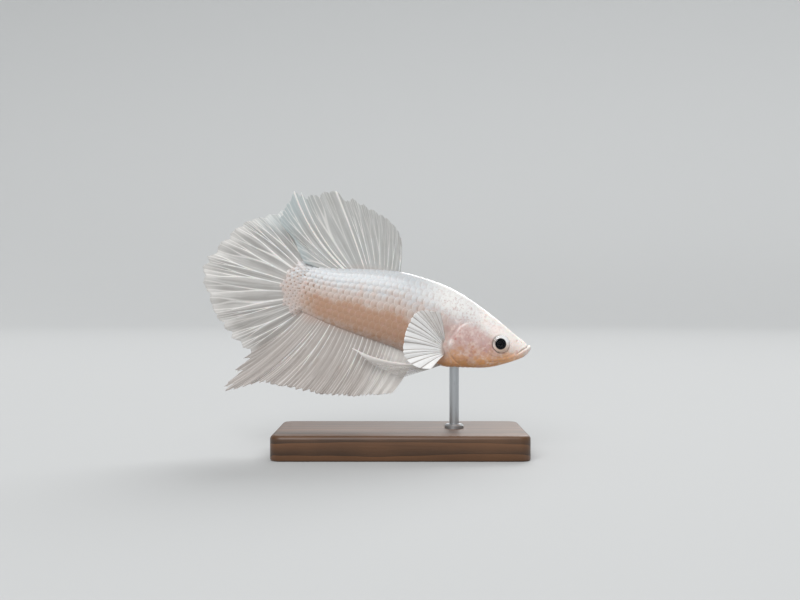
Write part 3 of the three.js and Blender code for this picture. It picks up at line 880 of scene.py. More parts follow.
# %% The scale's node tree
def scale_tree():
    """Curved plates, one on each point of the sheet."""
    group, given = node_tree("scales", ("Lift", "Float"), ("Patch", "Float"), ("Material", "Material"))
    at = add(group, "ShaderNodeSeparateXYZ", Vector=add(group, "GeometryNodeInputPosition")).outputs
    x = add(group, "ShaderNodeMath", PLUS, at["X"], 0.5)  # 0 at the root, 1 at the free edge
    y = add(group, "ShaderNodeMath", TIMES, at["Y"], 2.0)  # -1 to 1 across
    square = add(group, "ShaderNodeMath", TIMES, y, y)
    across = add(group, "ShaderNodeMath", PLUS, at["Y"], 0.5)
    leaf = add(group, "ShaderNodeCombineXYZ", X=x, Y=across)
    # the free edge is a rounded arc and the sides draw in at the root
    inside = add(group, "ShaderNodeMath", TIMES_PLUS, square, -0.94, 1.0)
    arc = add(group, "ShaderNodeMath", TIMES_PLUS, add(group, "ShaderNodeMath", ROOT, inside), 0.32, 0.68)
    long = add(group, "ShaderNodeMath", TIMES, x, arc)
    narrow = add(group, "ShaderNodeMath", TIMES_PLUS, x, 0.3, 0.7)
    wide = add(group, "ShaderNodeMath", TIMES, at["Y"], narrow)
    crown = add(group, "ShaderNodeMath", TIMES_PLUS, square, -0.55, 0.1)
    rise = add(group, "ShaderNodeMath", PLUS, x, crown)
    high = add(group, "ShaderNodeMath", TIMES, rise, given.outputs["Lift"])
    moved = add(group, "ShaderNodeCombineXYZ", X=long, Y=wide, Z=high)
    plate = add(group, "GeometryNodeMeshGrid", Size_X=1.0, Size_Y=1.0, Vertices_X=8, Vertices_Y=8)
    plate = add(
        group, "GeometryNodeStoreNamedAttribute", {"data_type": "FLOAT_VECTOR", "domain": "POINT"},
        Geometry=plate, Name="leaf", Value=leaf,
    )
    plate = add(group, "GeometryNodeSetPosition", Geometry=plate, Position=moved)
    size, stored_leaf, root = (
        add(group, "GeometryNodeInputNamedAttribute", {"data_type": "FLOAT_VECTOR"}, Name=name)
        for name in ("size", "leaf", "root")
    )
    roots = given.outputs["Geometry"]
    laid = add(group, "GeometryNodeInstanceOnPoints", Points=roots, Instance=plate, Scale=size)
    solid = add(group, "GeometryNodeRealizeInstances", Geometry=laid)
    patch = given.outputs["Patch"]
    corner = add(group, "ShaderNodeVectorMath", {"operation": "SCALE"}, Vector=stored_leaf, Scale=patch)
    spot = add(group, "ShaderNodeVectorMath", PLUS, root, corner)
    mapped = add(
        group, "GeometryNodeStoreNamedAttribute", {"data_type": "FLOAT2", "domain": "CORNER"},
        Geometry=solid, Name="OFBake", Value=spot,
    )
    painted = add(group, "GeometryNodeSetMaterial", Geometry=mapped, Material=given.outputs["Material"])
    add(group, "NodeGroupOutput", {}, painted)
    return group


SCALE_TREE = scale_tree()
print("nodes in the scale's tree:", len(SCALE_TREE.nodes))

# %% [markdown]
# ## Tiling and wrapping
# Scales overlap like roof tiles: each covers the root of the next. The sheet of roots is flat, so one
# function serves any surface, once it is told how a place on the sheet lies on that surface.

# %% Tile a sheet
SCALE_REACH = 1.95  # the plate's length, in steps of the row
SCALE_WIDTH = 1.3  # its height, in rows
SCALE_LIFT = 0.13  # how far the free edge stands off, in mm
SINK = 0.02  # how deep the root lies in the skin, in mm
PATCH = 0.003  # the side of a scale's own patch of the texture map


def tile(name, spots, size, marks_at, to_body):
    """Scales on a flat sheet at spots (x, y), wrapped by to_body, which takes x, y and lift.

    marks_at is s, h and the turn round the body at each spot."""
    item = new_object(name, np.column_stack([spots, np.zeros(len(spots))]) / MM, [])
    s, h, turn = marks_at
    uneven = np.random.default_rng(len(s)).uniform(0.45, 1.2, len(s))
    set_mask(item, "pocket", markings(np.minimum(s, BODY_END), h)["pocket"] * uneven)
    set_mask(item, "size", size)
    set_mask(item, "root", np.column_stack([np.clip(s / 1.2, 0, 1), turn, np.zeros(len(s))]))
    run_tree(item, SCALE_TREE, Lift=SCALE_LIFT, Patch=PATCH, Material=scale_material)
    mesh = item.data
    x, y, lift = read(mesh.vertices, "co", 3).T
    points = to_body(x, y, lift - SINK)
    mesh.vertices.foreach_set("co", (points * MM).astype(np.float32).ravel())
    s, h = shares(points)
    set_markings(item, np.minimum(s, BODY_END), h, skip="pocket")
    along, across, _ = read(mesh.attributes["leaf"].data, "vector", 3).T
    set_mask(item, "along", along)
    shaded = 1 - ease(0.57, 0.74, along + 0.3 * (2 * across - 1) ** 2)
    set_mask(item, "pocket", read(mesh.attributes["pocket"].data, "value") * shaded)
    mesh.polygons.foreach_set("use_smooth", [True] * len(mesh.polygons))
    mesh.update()
    finish_piece(item, "skin")


rng = np.random.default_rng(7)
scale_sizes = np.column_stack([
    SCALE_REACH * scale_step(ROOT_S) / LENGTH * rng.uniform(0.97, 1.03, len(ROOT_S)),
    np.full(len(ROOT_S), SCALE_WIDTH / ROWS),
    STRENGTH * rng.uniform(0.85, 1.1, len(ROOT_S)),
])
tile("scales", np.column_stack([ROOT_S, ROOT_SHARE]), scale_sizes, (ROOT_MIDDLE, ROOT_H, ROOT_SHARE), wrap)

# %% [markdown]
# ## The finish of the eyes
# A fish has no lids. The eye is a shallow cup: a cream and silver iris, a black pupil a little over half
# as wide, and a clear window that bulges past the skin. An eye could be one painted ball, but then the
# highlight would lie in the paint. So the window is a clear piece of its own.

# %% Iris material
# Reflecting cells behind wet tissue: bright silver with fine darker fibres, cream below, partly its own tint
# and partly painted shade, and painted shade at the rear and in a dark rim.
iris_material, tree = new_material("silver_iris")
ring, fibres_and_rear_shade, low = (
    add(tree, "ShaderNodeAttribute", {"attribute_name": name}).outputs["Fac"]
    for name in ("ring", "fibres_and_rear_shade", "low")
)
colour = add(tree, "ShaderNodeMix", RGBA, Factor_Float=low, A_Color=srgb("#ffffff"), B_Color=srgb("#e0c3b0"))
colour = add(tree, "ShaderNodeMix", RGBA, Factor_Float=fibres_and_rear_shade, A_Color=colour, B_Color=srgb("#a39388"))
pupil_edge = add(tree, "ShaderNodeMapRange", SMOOTH, Value=ring, From_Min=0.625, From_Max=0.66)
colour = add(tree, "ShaderNodeMix", RGBA, Factor_Float=pupil_edge, A_Color=srgb("#07090c"), B_Color=colour)
# A dark painted shade round the rim of the iris, where the socket's edge would shade it.
rim = add(tree, "ShaderNodeMapRange", SMOOTH, Value=ring, From_Min=0.972, From_Max=0.995, To_Max=0.75)
colour = add(tree, "ShaderNodeMix", RGBA, Factor_Float=rim, A_Color=colour, B_Color=srgb("#a08b80"))
shader = add(tree, "ShaderNodeBsdfPrincipled", Base_Color=colour, Roughness=0.4, Coat_Weight=0.2)
add(tree, "ShaderNodeOutputMaterial", Surface=shader)
print("nodes in the iris's material:", len(tree.nodes))

# %% Pupil and window materials
# A pupil is a hole into a dark ball: nearly black, without a shine of its own.
pupil_material, tree = new_material("black_pupil")
where = add(tree, "ShaderNodeTexCoord").outputs["Object"]
depth = add(tree, "ShaderNodeTexNoise", Vector=where, Scale=900.0, Detail=1.0)
black = add(tree, "ShaderNodeMix", RGBA, Factor_Float=depth, A_Color=srgb("#020305"), B_Color=srgb("#0a0d12"))
shader = add(tree, "ShaderNodeBsdfPrincipled", Base_Color=black, Roughness=0.6, Specular_IOR_Level=0.05)
add(tree, "ShaderNodeOutputMaterial", Surface=shader)

# Wet clear tissue: seen only by its small sharp highlight, and most at its edge.
window_material, tree = new_material("clear_eye_window")
clear = add(tree, "ShaderNodeBsdfTransparent")
gloss = add(tree, "ShaderNodeBsdfGlossy", Roughness=0.04)
both = add(tree, "ShaderNodeMixShader", {}, add(tree, "ShaderNodeFresnel", IOR=1.2), clear, gloss)
add(tree, "ShaderNodeOutputMaterial", Surface=both)
print("materials so far:", len(bpy.data.materials))

# %% [markdown]
# ## Turning the eyes
# An eye is round, so it can be turned from a profile, as on a lathe. A screw modifier would do that.
# Worked out point by point, the iris can also ripple, and the middle can be moved back, the way the fish
# looks. Each vertex keeps its radius and its angle, from which the fibres and the painted shade are made.

# %% Which way an eye faces
EYE_SIDES = 96
LOOK_BACK = 0.16  # how far the middle of the eye is moved back, in mm
EYE_FORWARD, EYE_UP = 0.12, 0.05  # how far the eyes turn forwards and up, for 1 outwards


def eye_frame(side):
    """The middle of the eye and its outward, forward and upward directions."""
    middle = EYE_MIDDLE.copy()
    middle[1] = SNOUT[1] + side * abs(EYE_MIDDLE[1] - SNOUT[1])
    out = np.array([EYE_FORWARD, side, EYE_UP])
    out /= np.linalg.norm(out)
    up = np.array([math.sin(PITCH), 0, math.cos(PITCH)])
    up -= out * up.dot(out)
    up /= np.linalg.norm(up)
    return middle, out, np.cross(up, out), up


print("the right eye faces", eye_frame(-1)[1].round(2))


# %% Turn a profile
def dome(name, side, profile, material, ripple=None):
    """A closed turned form, and the radius and the angle at each of its vertices.

    The profile is rows of (radius, height) in mm, from the middle out to the rim and back."""
    middle, out, forward, up = eye_frame(side)
    angle = np.arange(EYE_SIDES) * 2 * math.pi / EYE_SIDES
    vertices, radii, angles = [], [], []
    for radius, high in profile:
        turn = angle if radius > 0 else angle[:1]
        high = high + (ripple(radius, turn) if ripple else 0 * turn)
        centre = middle - LOOK_BACK * (1 - (radius / EYE_RADIUS) ** 2) * forward
        around = np.outer(np.cos(turn), forward) + np.outer(np.sin(turn), up)
        vertices.extend(centre + np.outer(high, out) + radius * around)
        radii.extend([radius] * len(turn))
        angles.extend(turn)
    end, ring = len(vertices) - 1, np.arange(EYE_SIDES)
    closing = [*fan(0, 1 + ring), *fan(end, end - EYE_SIDES + ring)[:, ::-1]]
    faces = [*closing, *grid_faces(len(profile) - 2, EYE_SIDES, first=1)[:, ::-1]]
    if side > 0:
        faces = [face[::-1] for face in faces]
    return new_object(name, vertices, faces, material), np.array(radii), np.array(angles)


print("one step round an eye:", 360 / EYE_SIDES, "degrees")

# %% Build the eyes
PUPIL, IRIS_RIM = 0.64 * EYE_RADIUS, 0.985 * EYE_RADIUS
BULGE = (eye_high[1] - eye_low[1]) / 2
IRIS_HIGH = 0.66 * BULGE
WINDOW_THICK = 0.06  # mm
rng = np.random.default_rng(3)
FIBRE_PHASES = rng.uniform(0, 2 * math.pi, 12)
FIBRE_COUNTS = rng.uniform(5, 40, 12).round()


def fibres(angle):
    """Many waves of different length round the iris, from -1 to 1."""
    return sum(np.sin(n * angle + p) for n, p in zip(FIBRE_COUNTS, FIBRE_PHASES)) / len(FIBRE_COUNTS)


def iris_ripple(radius, angle):
    share = radius / EYE_RADIUS
    return 0.03 * fibres(angle) * ease(0.66, 0.72, share) * (1 - ease(0.78, 0.92, share))


def build_eye(side, label):
    profile = [(PUPIL * u, IRIS_HIGH + 0.02 - 0.05 * u**2) for u in np.arange(9) / 8]
    for u in np.arange(1, 15) / 14:
        high = IRIS_HIGH - 0.01 + 0.012 * math.sin(u * math.pi) - 0.02 * u**2
        profile.append((PUPIL + (IRIS_RIM - PUPIL) * u, high))
    profile += [(IRIS_RIM, IRIS_HIGH - 0.5), (0.6 * EYE_RADIUS, IRIS_HIGH - 0.75), (0, IRIS_HIGH - 0.85)]
    iris, radii, angles = dome("iris_" + label, side, profile, iris_material, iris_ripple)
    # The painted rim shade is narrowest at the front and top, and widest at the rear and below.
    narrower = 0.016 * (0.35 + np.cos(angles - 0.4)) * (radii > 0.9 * EYE_RADIUS)
    set_mask(iris, "ring", radii / EYE_RADIUS - narrower)
    # Painted shade on the rear of the iris, where the socket would shade it.
    rear_shade = np.clip(np.cos(angles - 3.0), 0, 1) ** 7
    set_mask(iris, "fibres_and_rear_shade", 0.2 * np.clip(0.5 + 0.9 * fibres(angles), 0, 1) + 0.75 * rear_shade)
    # low: cream below and towards the front, partly the iris's own tint and partly painted shade, as a light
    # from above would leave it.
    set_mask(iris, "low", np.clip(0.35 - 0.85 * np.sin(angles) + 0.2 * np.cos(angles), 0, 1))
    iris.data.materials.append(pupil_material)
    centres = np.array([np.mean(radii[list(polygon.vertices)]) for polygon in iris.data.polygons])
    iris.data.polygons.foreach_set("material_index", (centres < PUPIL).astype(np.int32))
    finish_piece(iris, "eye", "eye_" + label)
    outer = [(IRIS_RIM * u, BULGE - 0.4 * u**2) for u in np.linspace(0, 1, 18)]
    inner = [(0.985 * radius, high - WINDOW_THICK) for radius, high in outer[::-1]]
    finish_piece(dome("window_" + label, side, outer + inner, window_material)[0], "eye")


build_eye(-1, "right")
build_eye(1, "left")

# %% [markdown]
# ## The surfaces of the fins
# A fin is a thin web stretched between rays, and the rays branch on their way out. The web and the rays
# could each be modelled, but they must fit each other to a tenth of a millimetre. So both follow the
# same surface: t runs across the fin from its front edge to its rear one, and r from its foot in the
# flesh to its margin. First come the rows through which each fin's foot and margin run.

# %% Where each fin's foot and margin lie
FOOT_DEPTH = 0.03  # how deep a fin's foot stands in the flesh, as a share of the length
dorsal_rows = through(  # t, s of the foot, s and h of the margin
    (0, 0.6, 0.63, 0.29), (0.1, 0.625, 0.658, 0.33), (0.2, 0.65, 0.702, 0.358),
    (0.3, 0.675, 0.765, 0.383), (0.4, 0.7, 0.832, 0.399), (0.47, 0.715, 0.88, 0.409),
    (0.5, 0.722, 0.898, 0.391), (0.54, 0.733, 0.94, 0.417), (0.62, 0.755, 0.997, 0.401),
    (0.72, 0.78, 1.066, 0.373), (0.8, 0.8, 1.12, 0.368), (0.84, 0.808, 1.13, 0.31),
    (0.9, 0.818, 1.137, 0.24), (0.95, 0.825, 1.06, 0.18), (1, 0.83, 1, 0.1),
)
anal_rows = through(
    (0, 0.455, 0.507, -0.326), (0.15, 0.53, 0.58, -0.351), (0.3, 0.61, 0.66, -0.377),
    (0.44, 0.69, 0.75, -0.397), (0.56, 0.76, 0.85, -0.41), (0.67, 0.82, 0.957, -0.415),
    (0.77, 0.86, 1.053, -0.428), (0.86, 0.89, 1.148, -0.485), (0.92, 0.91, 1.201, -0.496),
    (0.96, 0.925, 1.168, -0.402), (1, 0.94, 1.122, -0.314),
)
caudal_rows = through(  # t, and s and h of the margin
    (0, 1.13, 0.301), (0.12, 1.206, 0.2535), (0.25, 1.283, 0.2), (0.37, 1.352, 0.116), (0.47, 1.398, 0.03),
    (0.55, 1.408, -0.057), (0.64, 1.352, -0.136), (0.76, 1.288, -0.22), (0.88, 1.217, -0.276),
    (1, 1.132, -0.315),
)
pectoral_rows = through(
    (0, 0.407, 0.049), (0.16, 0.465, 0.041), (0.3, 0.502, 0.02), (0.45, 0.516, -0.03), (0.6, 0.518, -0.085),
    (0.74, 0.509, -0.142), (0.85, 0.478, -0.174), (0.94, 0.426, -0.186), (1, 0.38, -0.177),
)
pelvic_rows = through((0, 0.724, -0.181), (0.35, 0.665, -0.206), (0.6, 0.6, -0.232), (1, 0.484, -0.25))
print("the tail fin's margin reaches s =", caudal_rows(0.55)[0])

# %% [markdown]
# ## How each fin bends
# Seen from the side, each ray runs from its foot to the margin with a slight bow. Seen from above, the
# fin waves to and fro in pleats and leans to one side. A cloth simulation could make such folds, but
# nobody could say where they end up. Here a few sines and rises put them where the fish has them.


# %% From foot to margin
# Each gives s and h of the foot, s and h of the margin, and how far the ray bows, as a share of it.
def dorsal_ray(t):
    foot, s, h = dorsal_rows(t).T
    return foot, top_line(foot) - FOOT_DEPTH, s, h, 0.03 * (1 - t) - 0.075 * mound(t - 0.78, 0.13)


def anal_ray(t):
    foot, s, h = anal_rows(t).T
    return foot, bottom_line(foot) + FOOT_DEPTH, s, h, -0.05


def caudal_ray(t):
    s, h = caudal_rows(t).T
    turn = np.radians(82 - 164 * t)
    return 0.93 + 0.06 * np.cos(turn), 0.004 + 0.08 * np.sin(turn), s, h, 0.05 * (0.5 - t)


def pectoral_ray(t):
    s, h = pectoral_rows(t).T
    return 0.348 + 0.006 * np.cos(math.pi * t), -0.062 - 0.05 * t, s, h, 0.03


def pelvic_ray(t):
    s, h = pelvic_rows(t).T
    return 0.352 - 0.014 * t, -0.15 - 0.008 * t, s, h, -0.09 * (1 - t)


print("the first pelvic ray:", [round(float(value), 3) for value in pelvic_ray(np.array(0.0))])

# %% From side to side
PLEAT_DEPTH = 0.17  # in mm, half as deep as in the solids, which need fewer faces to show them


def pleats(t, r, count, shift=0.0, depth=PLEAT_DEPTH):
    return depth * r * np.sin(2 * math.pi * (count * t + shift)) * ease(0, 0.08, t) * ease(0, 0.08, 1 - t)


# How far the middle of each web lies to the side, in mm.
def dorsal_side(t, r):
    return pleats(t, r, 9, 0.2) - 1.15 * r**2 * ease(0.6, 0.95, t)


def anal_side(t, r):
    return pleats(t, r, 13, 0.1, 0.11) - 1.05 * r**2 * ease(0.7, 0.97, t)


def caudal_side(t, r):
    return pleats(t, r, 12) + 0.95 * r + 0.7 * r * np.abs(2 * t - 1) ** 3


def pectoral_side(t, r):
    return 2.85 + 4.2 * r**0.9 + 0.5 * np.sin(math.pi * t) * r + pleats(t, r, 7)


def pelvic_side(t, r):
    return 0.75 + 1.0 * ease(0, 0.45, r) + 0.2 * r * np.sin(math.pi * t)


print("the pectoral fin stands off by", round(float(pectoral_side(0.5, 1.0)), 1), "mm")

# %% [markdown]
# ## The rays of each fin
# The bony rays leave the foot of a fin at nearly even distances, and most of them fork once or twice. No
# two are alike: some are bolder, some fork early. They could be drawn one by one, but there are over a
# hundred. Here one table tells how each fin is built, and a fixed seed varies the rays.

# %% The five kinds of fin
# rays: how many leave the foot. splits: how often each one forks. dip: how deep the margin falls
# between ray tips, as a share of the fin. fold: the small folds between rays, in mm. thick: the web's
# thickness and radius: a ray's, in mm. wedge: how much thicker the foot is, in mm, and how far out.
# bold: the weight of single rays. ragged: from where the margin is torn, and how much deeper it dips.
FINS = {
    "dorsal_fin": dict(
        ray=dorsal_ray, side=dorsal_side, rays=17, splits=2, dip=0.08, fold=0.03, thick=0.09, radius=0.1,
        wedge=(0.5, 0.2), bold={13: 2.5, 12: 1.5, 9: 1.5},
    ),
    "anal_fin": dict(
        ray=anal_ray, side=anal_side, rays=32, splits=1, dip=0.07, fold=0.035, thick=0.09, radius=0.09,
        wedge=(0.75, 0.24), ragged=(0.8, 2.2),
    ),
    "caudal_fin": dict(
        ray=caudal_ray, side=caudal_side, rays=14, splits=2, dip=0.09, fold=0.035, thick=0.09, radius=0.12,
        wedge=(1.55, 0.36), span=(0, 1.03),
    ),
    "pectoral_fin": dict(
        ray=pectoral_ray, side=pectoral_side, rays=17, splits=0, dip=0.03, fold=0.1, thick=0.1, radius=0.06,
        wedge=(0.5, 0.2),
    ),
    "pelvic_fin": dict(
        ray=pelvic_ray, side=pelvic_side, rays=4, splits=0, dip=0.1, fold=0.04, thick=0.12, radius=0.1,
        wedge=(0.5, 0.3), bold={0: 1.7, 1: 0.6, 2: 0.5, 3: 0.45},
    ),
}
print("rays:", {name: fin["rays"] for name, fin in FINS.items()})

# %% Number the rays
FIRST_SPREAD, SECOND_SPREAD = 0.25, 0.125  # how far branches part, as shares of the distance between rays
FIRST_OPEN, SECOND_OPEN = 0.5, 0.35  # over how much of the fin they part


def ray_plan(fin):
    """Each ray's weight, and where it forks first and again. The bold ones don't fork."""
    rng = np.random.default_rng(fin["rays"])
    count = fin["rays"] + 1
    weights = rng.uniform(0.4, 1.15, count)
    first, second = rng.uniform(0.2, 0.42, count), rng.uniform(0.52, 0.68, count)
    for index, weight in fin.get("bold", {}).items():
        weights[index], first[index], second[index] = weight, 2, 2
    return weights, first, second


def ray_count(fin, t):
    """How many rays lie ahead of t. They aren't quite evenly spaced."""
    return fin["rays"] * t + (0.22 * np.sin(23 * t + 1) + 0.12 * np.sin(51 * t)) * np.sin(math.pi * t)


def from_rays(fin, t, r):
    """How far a place lies from the nearest ray: 0 on a ray, 1 half way to the next."""
    count = np.clip(ray_count(fin, t), 0, fin["rays"] - 1e-6)
    index = np.floor(count).astype(int)
    away, gap = np.abs(count - index - 0.5), 0.5
    _, first, second = ray_plan(fin)
    forks = ((first, FIRST_OPEN, FIRST_SPREAD), (second, SECOND_OPEN, SECOND_SPREAD))
    for start, opening, spread in forks[: fin["splits"]]:
        parted = spread * ease(start[index], start[index] + opening, r)
        away, gap = np.abs(away - parted), gap - parted
    return np.clip(away / gap, 0, 1)


dorsal_weights = ray_plan(FINS["dorsal_fin"])[0]
print("boldest dorsal ray:", dorsal_weights.argmax(), "weight", dorsal_weights.max())

# %% [markdown]
# ## The edge and the thickness of a web
# The margin dips between the ray tips, as the web there is only a few cells thick. The foot swells with
# the muscles that move the rays. One thickness throughout would look like cut paper, so it is a function
# of the place on the fin too.


# %% Margin, thickness and surface
def margin(fin, t):
    """How far out the web reaches at t: it dips between the ray tips, unevenly."""
    depth = np.zeros(np.shape(t))
    for fine, share in ((1, 0.7), (2, 0.3)):
        count = ray_count(fin, t) * fine
        index, away = np.floor(count), np.abs(count % 1 - 0.5)
        dip = 4 * away * (1 - away)
        depth += share * dip * (0.65 + 0.35 * np.sin(7.3 * index + 2 * fine))
    ragged_from, more = fin.get("ragged", (2, 0))
    return 1 + fin["dip"] * (0.4 - depth * (1 + more * ease(ragged_from, ragged_from + 0.1, t)))


def half_thickness(fin, t, r):
    """A web is thin at its margin, and swells towards its foot, apart from its two ends."""
    root, end = fin["wedge"]
    swell = (1 - ease(0, end, r)) * (1 - 0.2 * (2 * t - 1) ** 2)
    return 0.5 * (fin["thick"] + root * swell * ease(-0.02, 0.1, t) * ease(-0.02, 0.1, 1 - t))


def fin_points(fin, t, r, side, off=0.0):
    """Points on a fin's middle surface, or off mm to its outer side. side is -1 for a right-hand fin."""
    foot_s, foot_h, tip_s, tip_h, bow = fin["ray"](t)
    ds, dh = tip_s - foot_s, tip_h - foot_h
    bulge = bow * 4 * r * (1 - r)
    y = fin["side"](t, r) + off
    return place(foot_s + ds * r - dh * bulge, side * y, foot_h + dh * r + ds * bulge)


print("the tail fin's foot is", round(float(2 * half_thickness(FINS["caudal_fin"], 0.5, 0.0)), 2), "mm thick")

# %% [markdown]
# ## The finish of the fins
# A fin's web is a wet film. Light comes through it from behind, and where it is thinnest the background
# shows. It is streaked along the rays. Plain glass would be too clean, so three things are mixed: a
# glossy pale surface, light that has come through, and plain clearness where a mask says thin.

# %% The web's shader
STREAK_TINT, FOLD_SHADE, COLD_TINT, FLESH_TINT = "#a39b95", "#8f8883", "#c3d3d7", "#c4ada2"


def web_finish(name, web, ray, clearness):
    """A wet web: pale, partly see-through, lit from behind as well as in front."""
    material, tree = new_material(name)
    shade, tint, ray_white_and_painted_light, flesh, thin = (
        add(tree, "ShaderNodeAttribute", {"attribute_name": mask}).outputs["Fac"]
        for mask in ("shade", "tint", "ray_white_and_painted_light", "flesh", "thin")
    )
    lie = add(tree, "ShaderNodeAttribute", {"attribute_name": "lie"}).outputs["Vector"]
    streaks = add(tree, "ShaderNodeTexNoise", Vector=lie, Scale=5.0, Detail=3.0, Roughness=0.65)
    dark = add(tree, "ShaderNodeMapRange", Value=streaks, From_Min=0.55, From_Max=0.35, To_Max=0.34)
    light = add(tree, "ShaderNodeMapRange", Value=streaks, From_Min=0.52, From_Max=0.66, To_Max=0.42)
    colour = mottled(tree, srgb(web), "#b3aca6", 420, 0.45, 0.75, 0.5)
    layers = (
        (dark, STREAK_TINT), (light, ray), (shade, FOLD_SHADE), (tint, COLD_TINT), (ray_white_and_painted_light, ray),
        (flesh, FLESH_TINT),
    )
    for share, over in layers:
        colour = add(tree, "ShaderNodeMix", RGBA, Factor_Float=share, A_Color=colour, B_Color=srgb(over))
    _, fine = grain(tree, 1800.0, 2.0, 0.3, 0.00005)
    bump = add(tree, "ShaderNodeBump", Strength=0.4, Distance=0.00008, Height=streaks, Normal=fine)
    front = add(
        tree, "ShaderNodeBsdfPrincipled", Base_Color=colour, Roughness=0.42, Normal=bump,
        Coat_Weight=0.25, Coat_Roughness=0.2,
    )
    behind = add(tree, "ShaderNodeBsdfTranslucent", Color=colour)
    lit = add(tree, "ShaderNodeMixShader", {}, 0.2, front, behind)
    amount = add(tree, "ShaderNodeMapRange", Value=thin, To_Max=clearness)
    both = add(tree, "ShaderNodeMixShader", {}, amount, lit, add(tree, "ShaderNodeBsdfTransparent"))
    add(tree, "ShaderNodeOutputMaterial", Surface=both)
    return material


# Wet web: a pale grey film that lets light through, whiter along the rays.
web_material = web_finish("wet_fin_web", "#bfbcb9", "#efedea", 0.9)
# The breast fins' web is milkier, nearly white.
breast_web_material = web_finish("pale_breast_fin_web", "#e8e5e2", "#ffffff", 0.9)
print("materials so far:", len(bpy.data.materials))

# %% Ray material
# Fine bone in wet skin: ivory white, a soft gloss, and the small unevenness of its joints.
ray_material, tree = new_material("bony_fin_ray")
colour = mottled(tree, srgb("#eae7e4"), "#c9c1bb", 1400, 0.5, 0.75, 0.5)
_, bump = grain(tree, 3200.0, 1.0, 0.3, 0.00004)
shader = add(
    tree, "ShaderNodeBsdfPrincipled", Base_Color=colour, Roughness=0.4, Normal=bump,
    Subsurface_Weight=0.2, Subsurface_Scale=0.0004, Coat_Weight=0.2, Coat_Roughness=0.2,
)
add(tree, "ShaderNodeOutputMaterial", Surface=shader)
print("nodes in the ray's material:", len(tree.nodes))

# %% [markdown]
# ## The markings of the webs
# Each fin is marked in its own way: the rays of the dorsal fin show white, the anal fin has painted light
# in front, where the body and the lower fins shade it, the tail is shaded in its middle, and the outer
# edges are faintly blue. They could be painted on a texture for each fin. As masks on the vertices, they
# follow the rays exactly and need no images.


# %% Where each web is marked
def web_masks(name, t, r, away):
    """Where a web is whitened by its rays and by painted light, shaded in its folds, blue, clear, or fleshy.
    """
    weights = ray_plan(FINS[name])[0]
    weight = weights[np.clip(ray_count(FINS[name], t), 0, len(weights) - 1).astype(int)]
    near_ray = 1 - ease(0.1, 0.28, away)
    ray_white_and_painted_light = near_ray * np.clip(weight * (0.35 + 0.35 * ease(0.1, 0.5, r)), 0, 1)
    shade = 0.3 * ease(0.6, 1, away) * (1 - 0.4 * r) * weight
    tint, thin = np.zeros(t.shape), np.full(t.shape, 0.18)
    flesh = 1 - ease(0.04, 0.16, r)
    if name == "dorsal_fin":
        ray_white_and_painted_light = ray_white_and_painted_light * (0.6 + 0.4 * ease(0.3, 0.7, t))
        tint = 0.18 + 0.42 * ease(0.6, 0.85, t) * ease(0.6, 0.95, r)
        thin = 0.2 + 0.5 * mound(t - 0.92, 0.05) * mound(r - 0.6, 0.3)
        flesh = 0.4 * flesh
    if name == "anal_fin":
        ray_white_and_painted_light = near_ray * np.clip(weight * (1 - 0.5 * ease(0.15, 0.6, r)), 0, 1)
        ray_white_and_painted_light = np.clip(ray_white_and_painted_light + 0.4 * near_ray * ease(0.7, 0.92, r), 0, 1)
        # Painted light on the front of the anal fin, where the body and the lower fins shade it.
        ray_white_and_painted_light = ray_white_and_painted_light + (0.85 - 0.85 * ray_white_and_painted_light) * (1 - ease(0.1, 0.4, t))
        flesh = np.maximum(0.78 * flesh + 0.22, 0.5 * (1 - ease(0.02, 0.1, t)))
    if name == "caudal_fin":
        ray_white_and_painted_light = near_ray * np.clip(weight * (1.1 - 0.4 * ease(0.15, 0.6, r)), 0, 1)
        ray_white_and_painted_light = ray_white_and_painted_light + (0.4 - 0.4 * ray_white_and_painted_light) * ease(0.8, 1, r)
        grey = 0.14 + 0.26 * (1 - ease(0.25, 0.5, t))
        shade = shade + grey * ease(0.15, 0.4, r) * (1 - ease(0.75, 0.95, r))
        tint = 0.15 * (1 - t) + 0.45 * (1 - ease(0.05, 0.3, t)) * ease(0.5, 0.95, r)
        flesh = 0.8 - 0.8 * ease(0.1, 0.24, r)
    if name == "pectoral_fin":
        folded = ease(0.2, 0.36, t)
        ray_white_and_painted_light = (1 - ease(0.62, 0.92, away)) * (0.5 + 0.5 * folded) * ease(0.02, 0.2, r)
        shade = 0.95 * ease(0.84, 0.98, away) * (0.35 + 0.65 * folded)
        thin = 0.02 + 0.4 * (1 - folded)
    if name == "pelvic_fin":
        front = 1 - ease(0.18, 0.6, t)
        ray_white_and_painted_light = np.max([0.3 * ray_white_and_painted_light, 1 - ease(0.05, 0.16, t), 0.85 * front], axis=0)
        ray_white_and_painted_light = ray_white_and_painted_light + (0.5 - 0.5 * ray_white_and_painted_light) * (1 - ease(0.15, 0.8, r))
        thin = (0.85 - 0.7 * front) * (1 - 0.7 * (1 - ease(0.1, 0.6, r)))
    thin, flesh = thin * (1 - 0.8 * ray_white_and_painted_light), flesh * (1 - 0.85 * ray_white_and_painted_light)
    return {"ray_white_and_painted_light": ray_white_and_painted_light, "shade": shade, "tint": tint, "thin": thin, "flesh": flesh}


middle_ray = web_masks("caudal_fin", np.array([0.5]), np.array([0.5]), np.array([0.0]))
print("in the middle of the tail:", {name: round(float(value[0]), 2) for name, value in middle_ray.items()})

# %% [markdown]
# ## The webs
# Each web is one closed thin sheet, a tenth of a millimetre thick at the margin and thicker at the foot,
# where the muscles that move the rays lie. A modifier could thicken a single surface, but here the
# thickness changes along the fin, so both faces are made at once and joined round the edge.


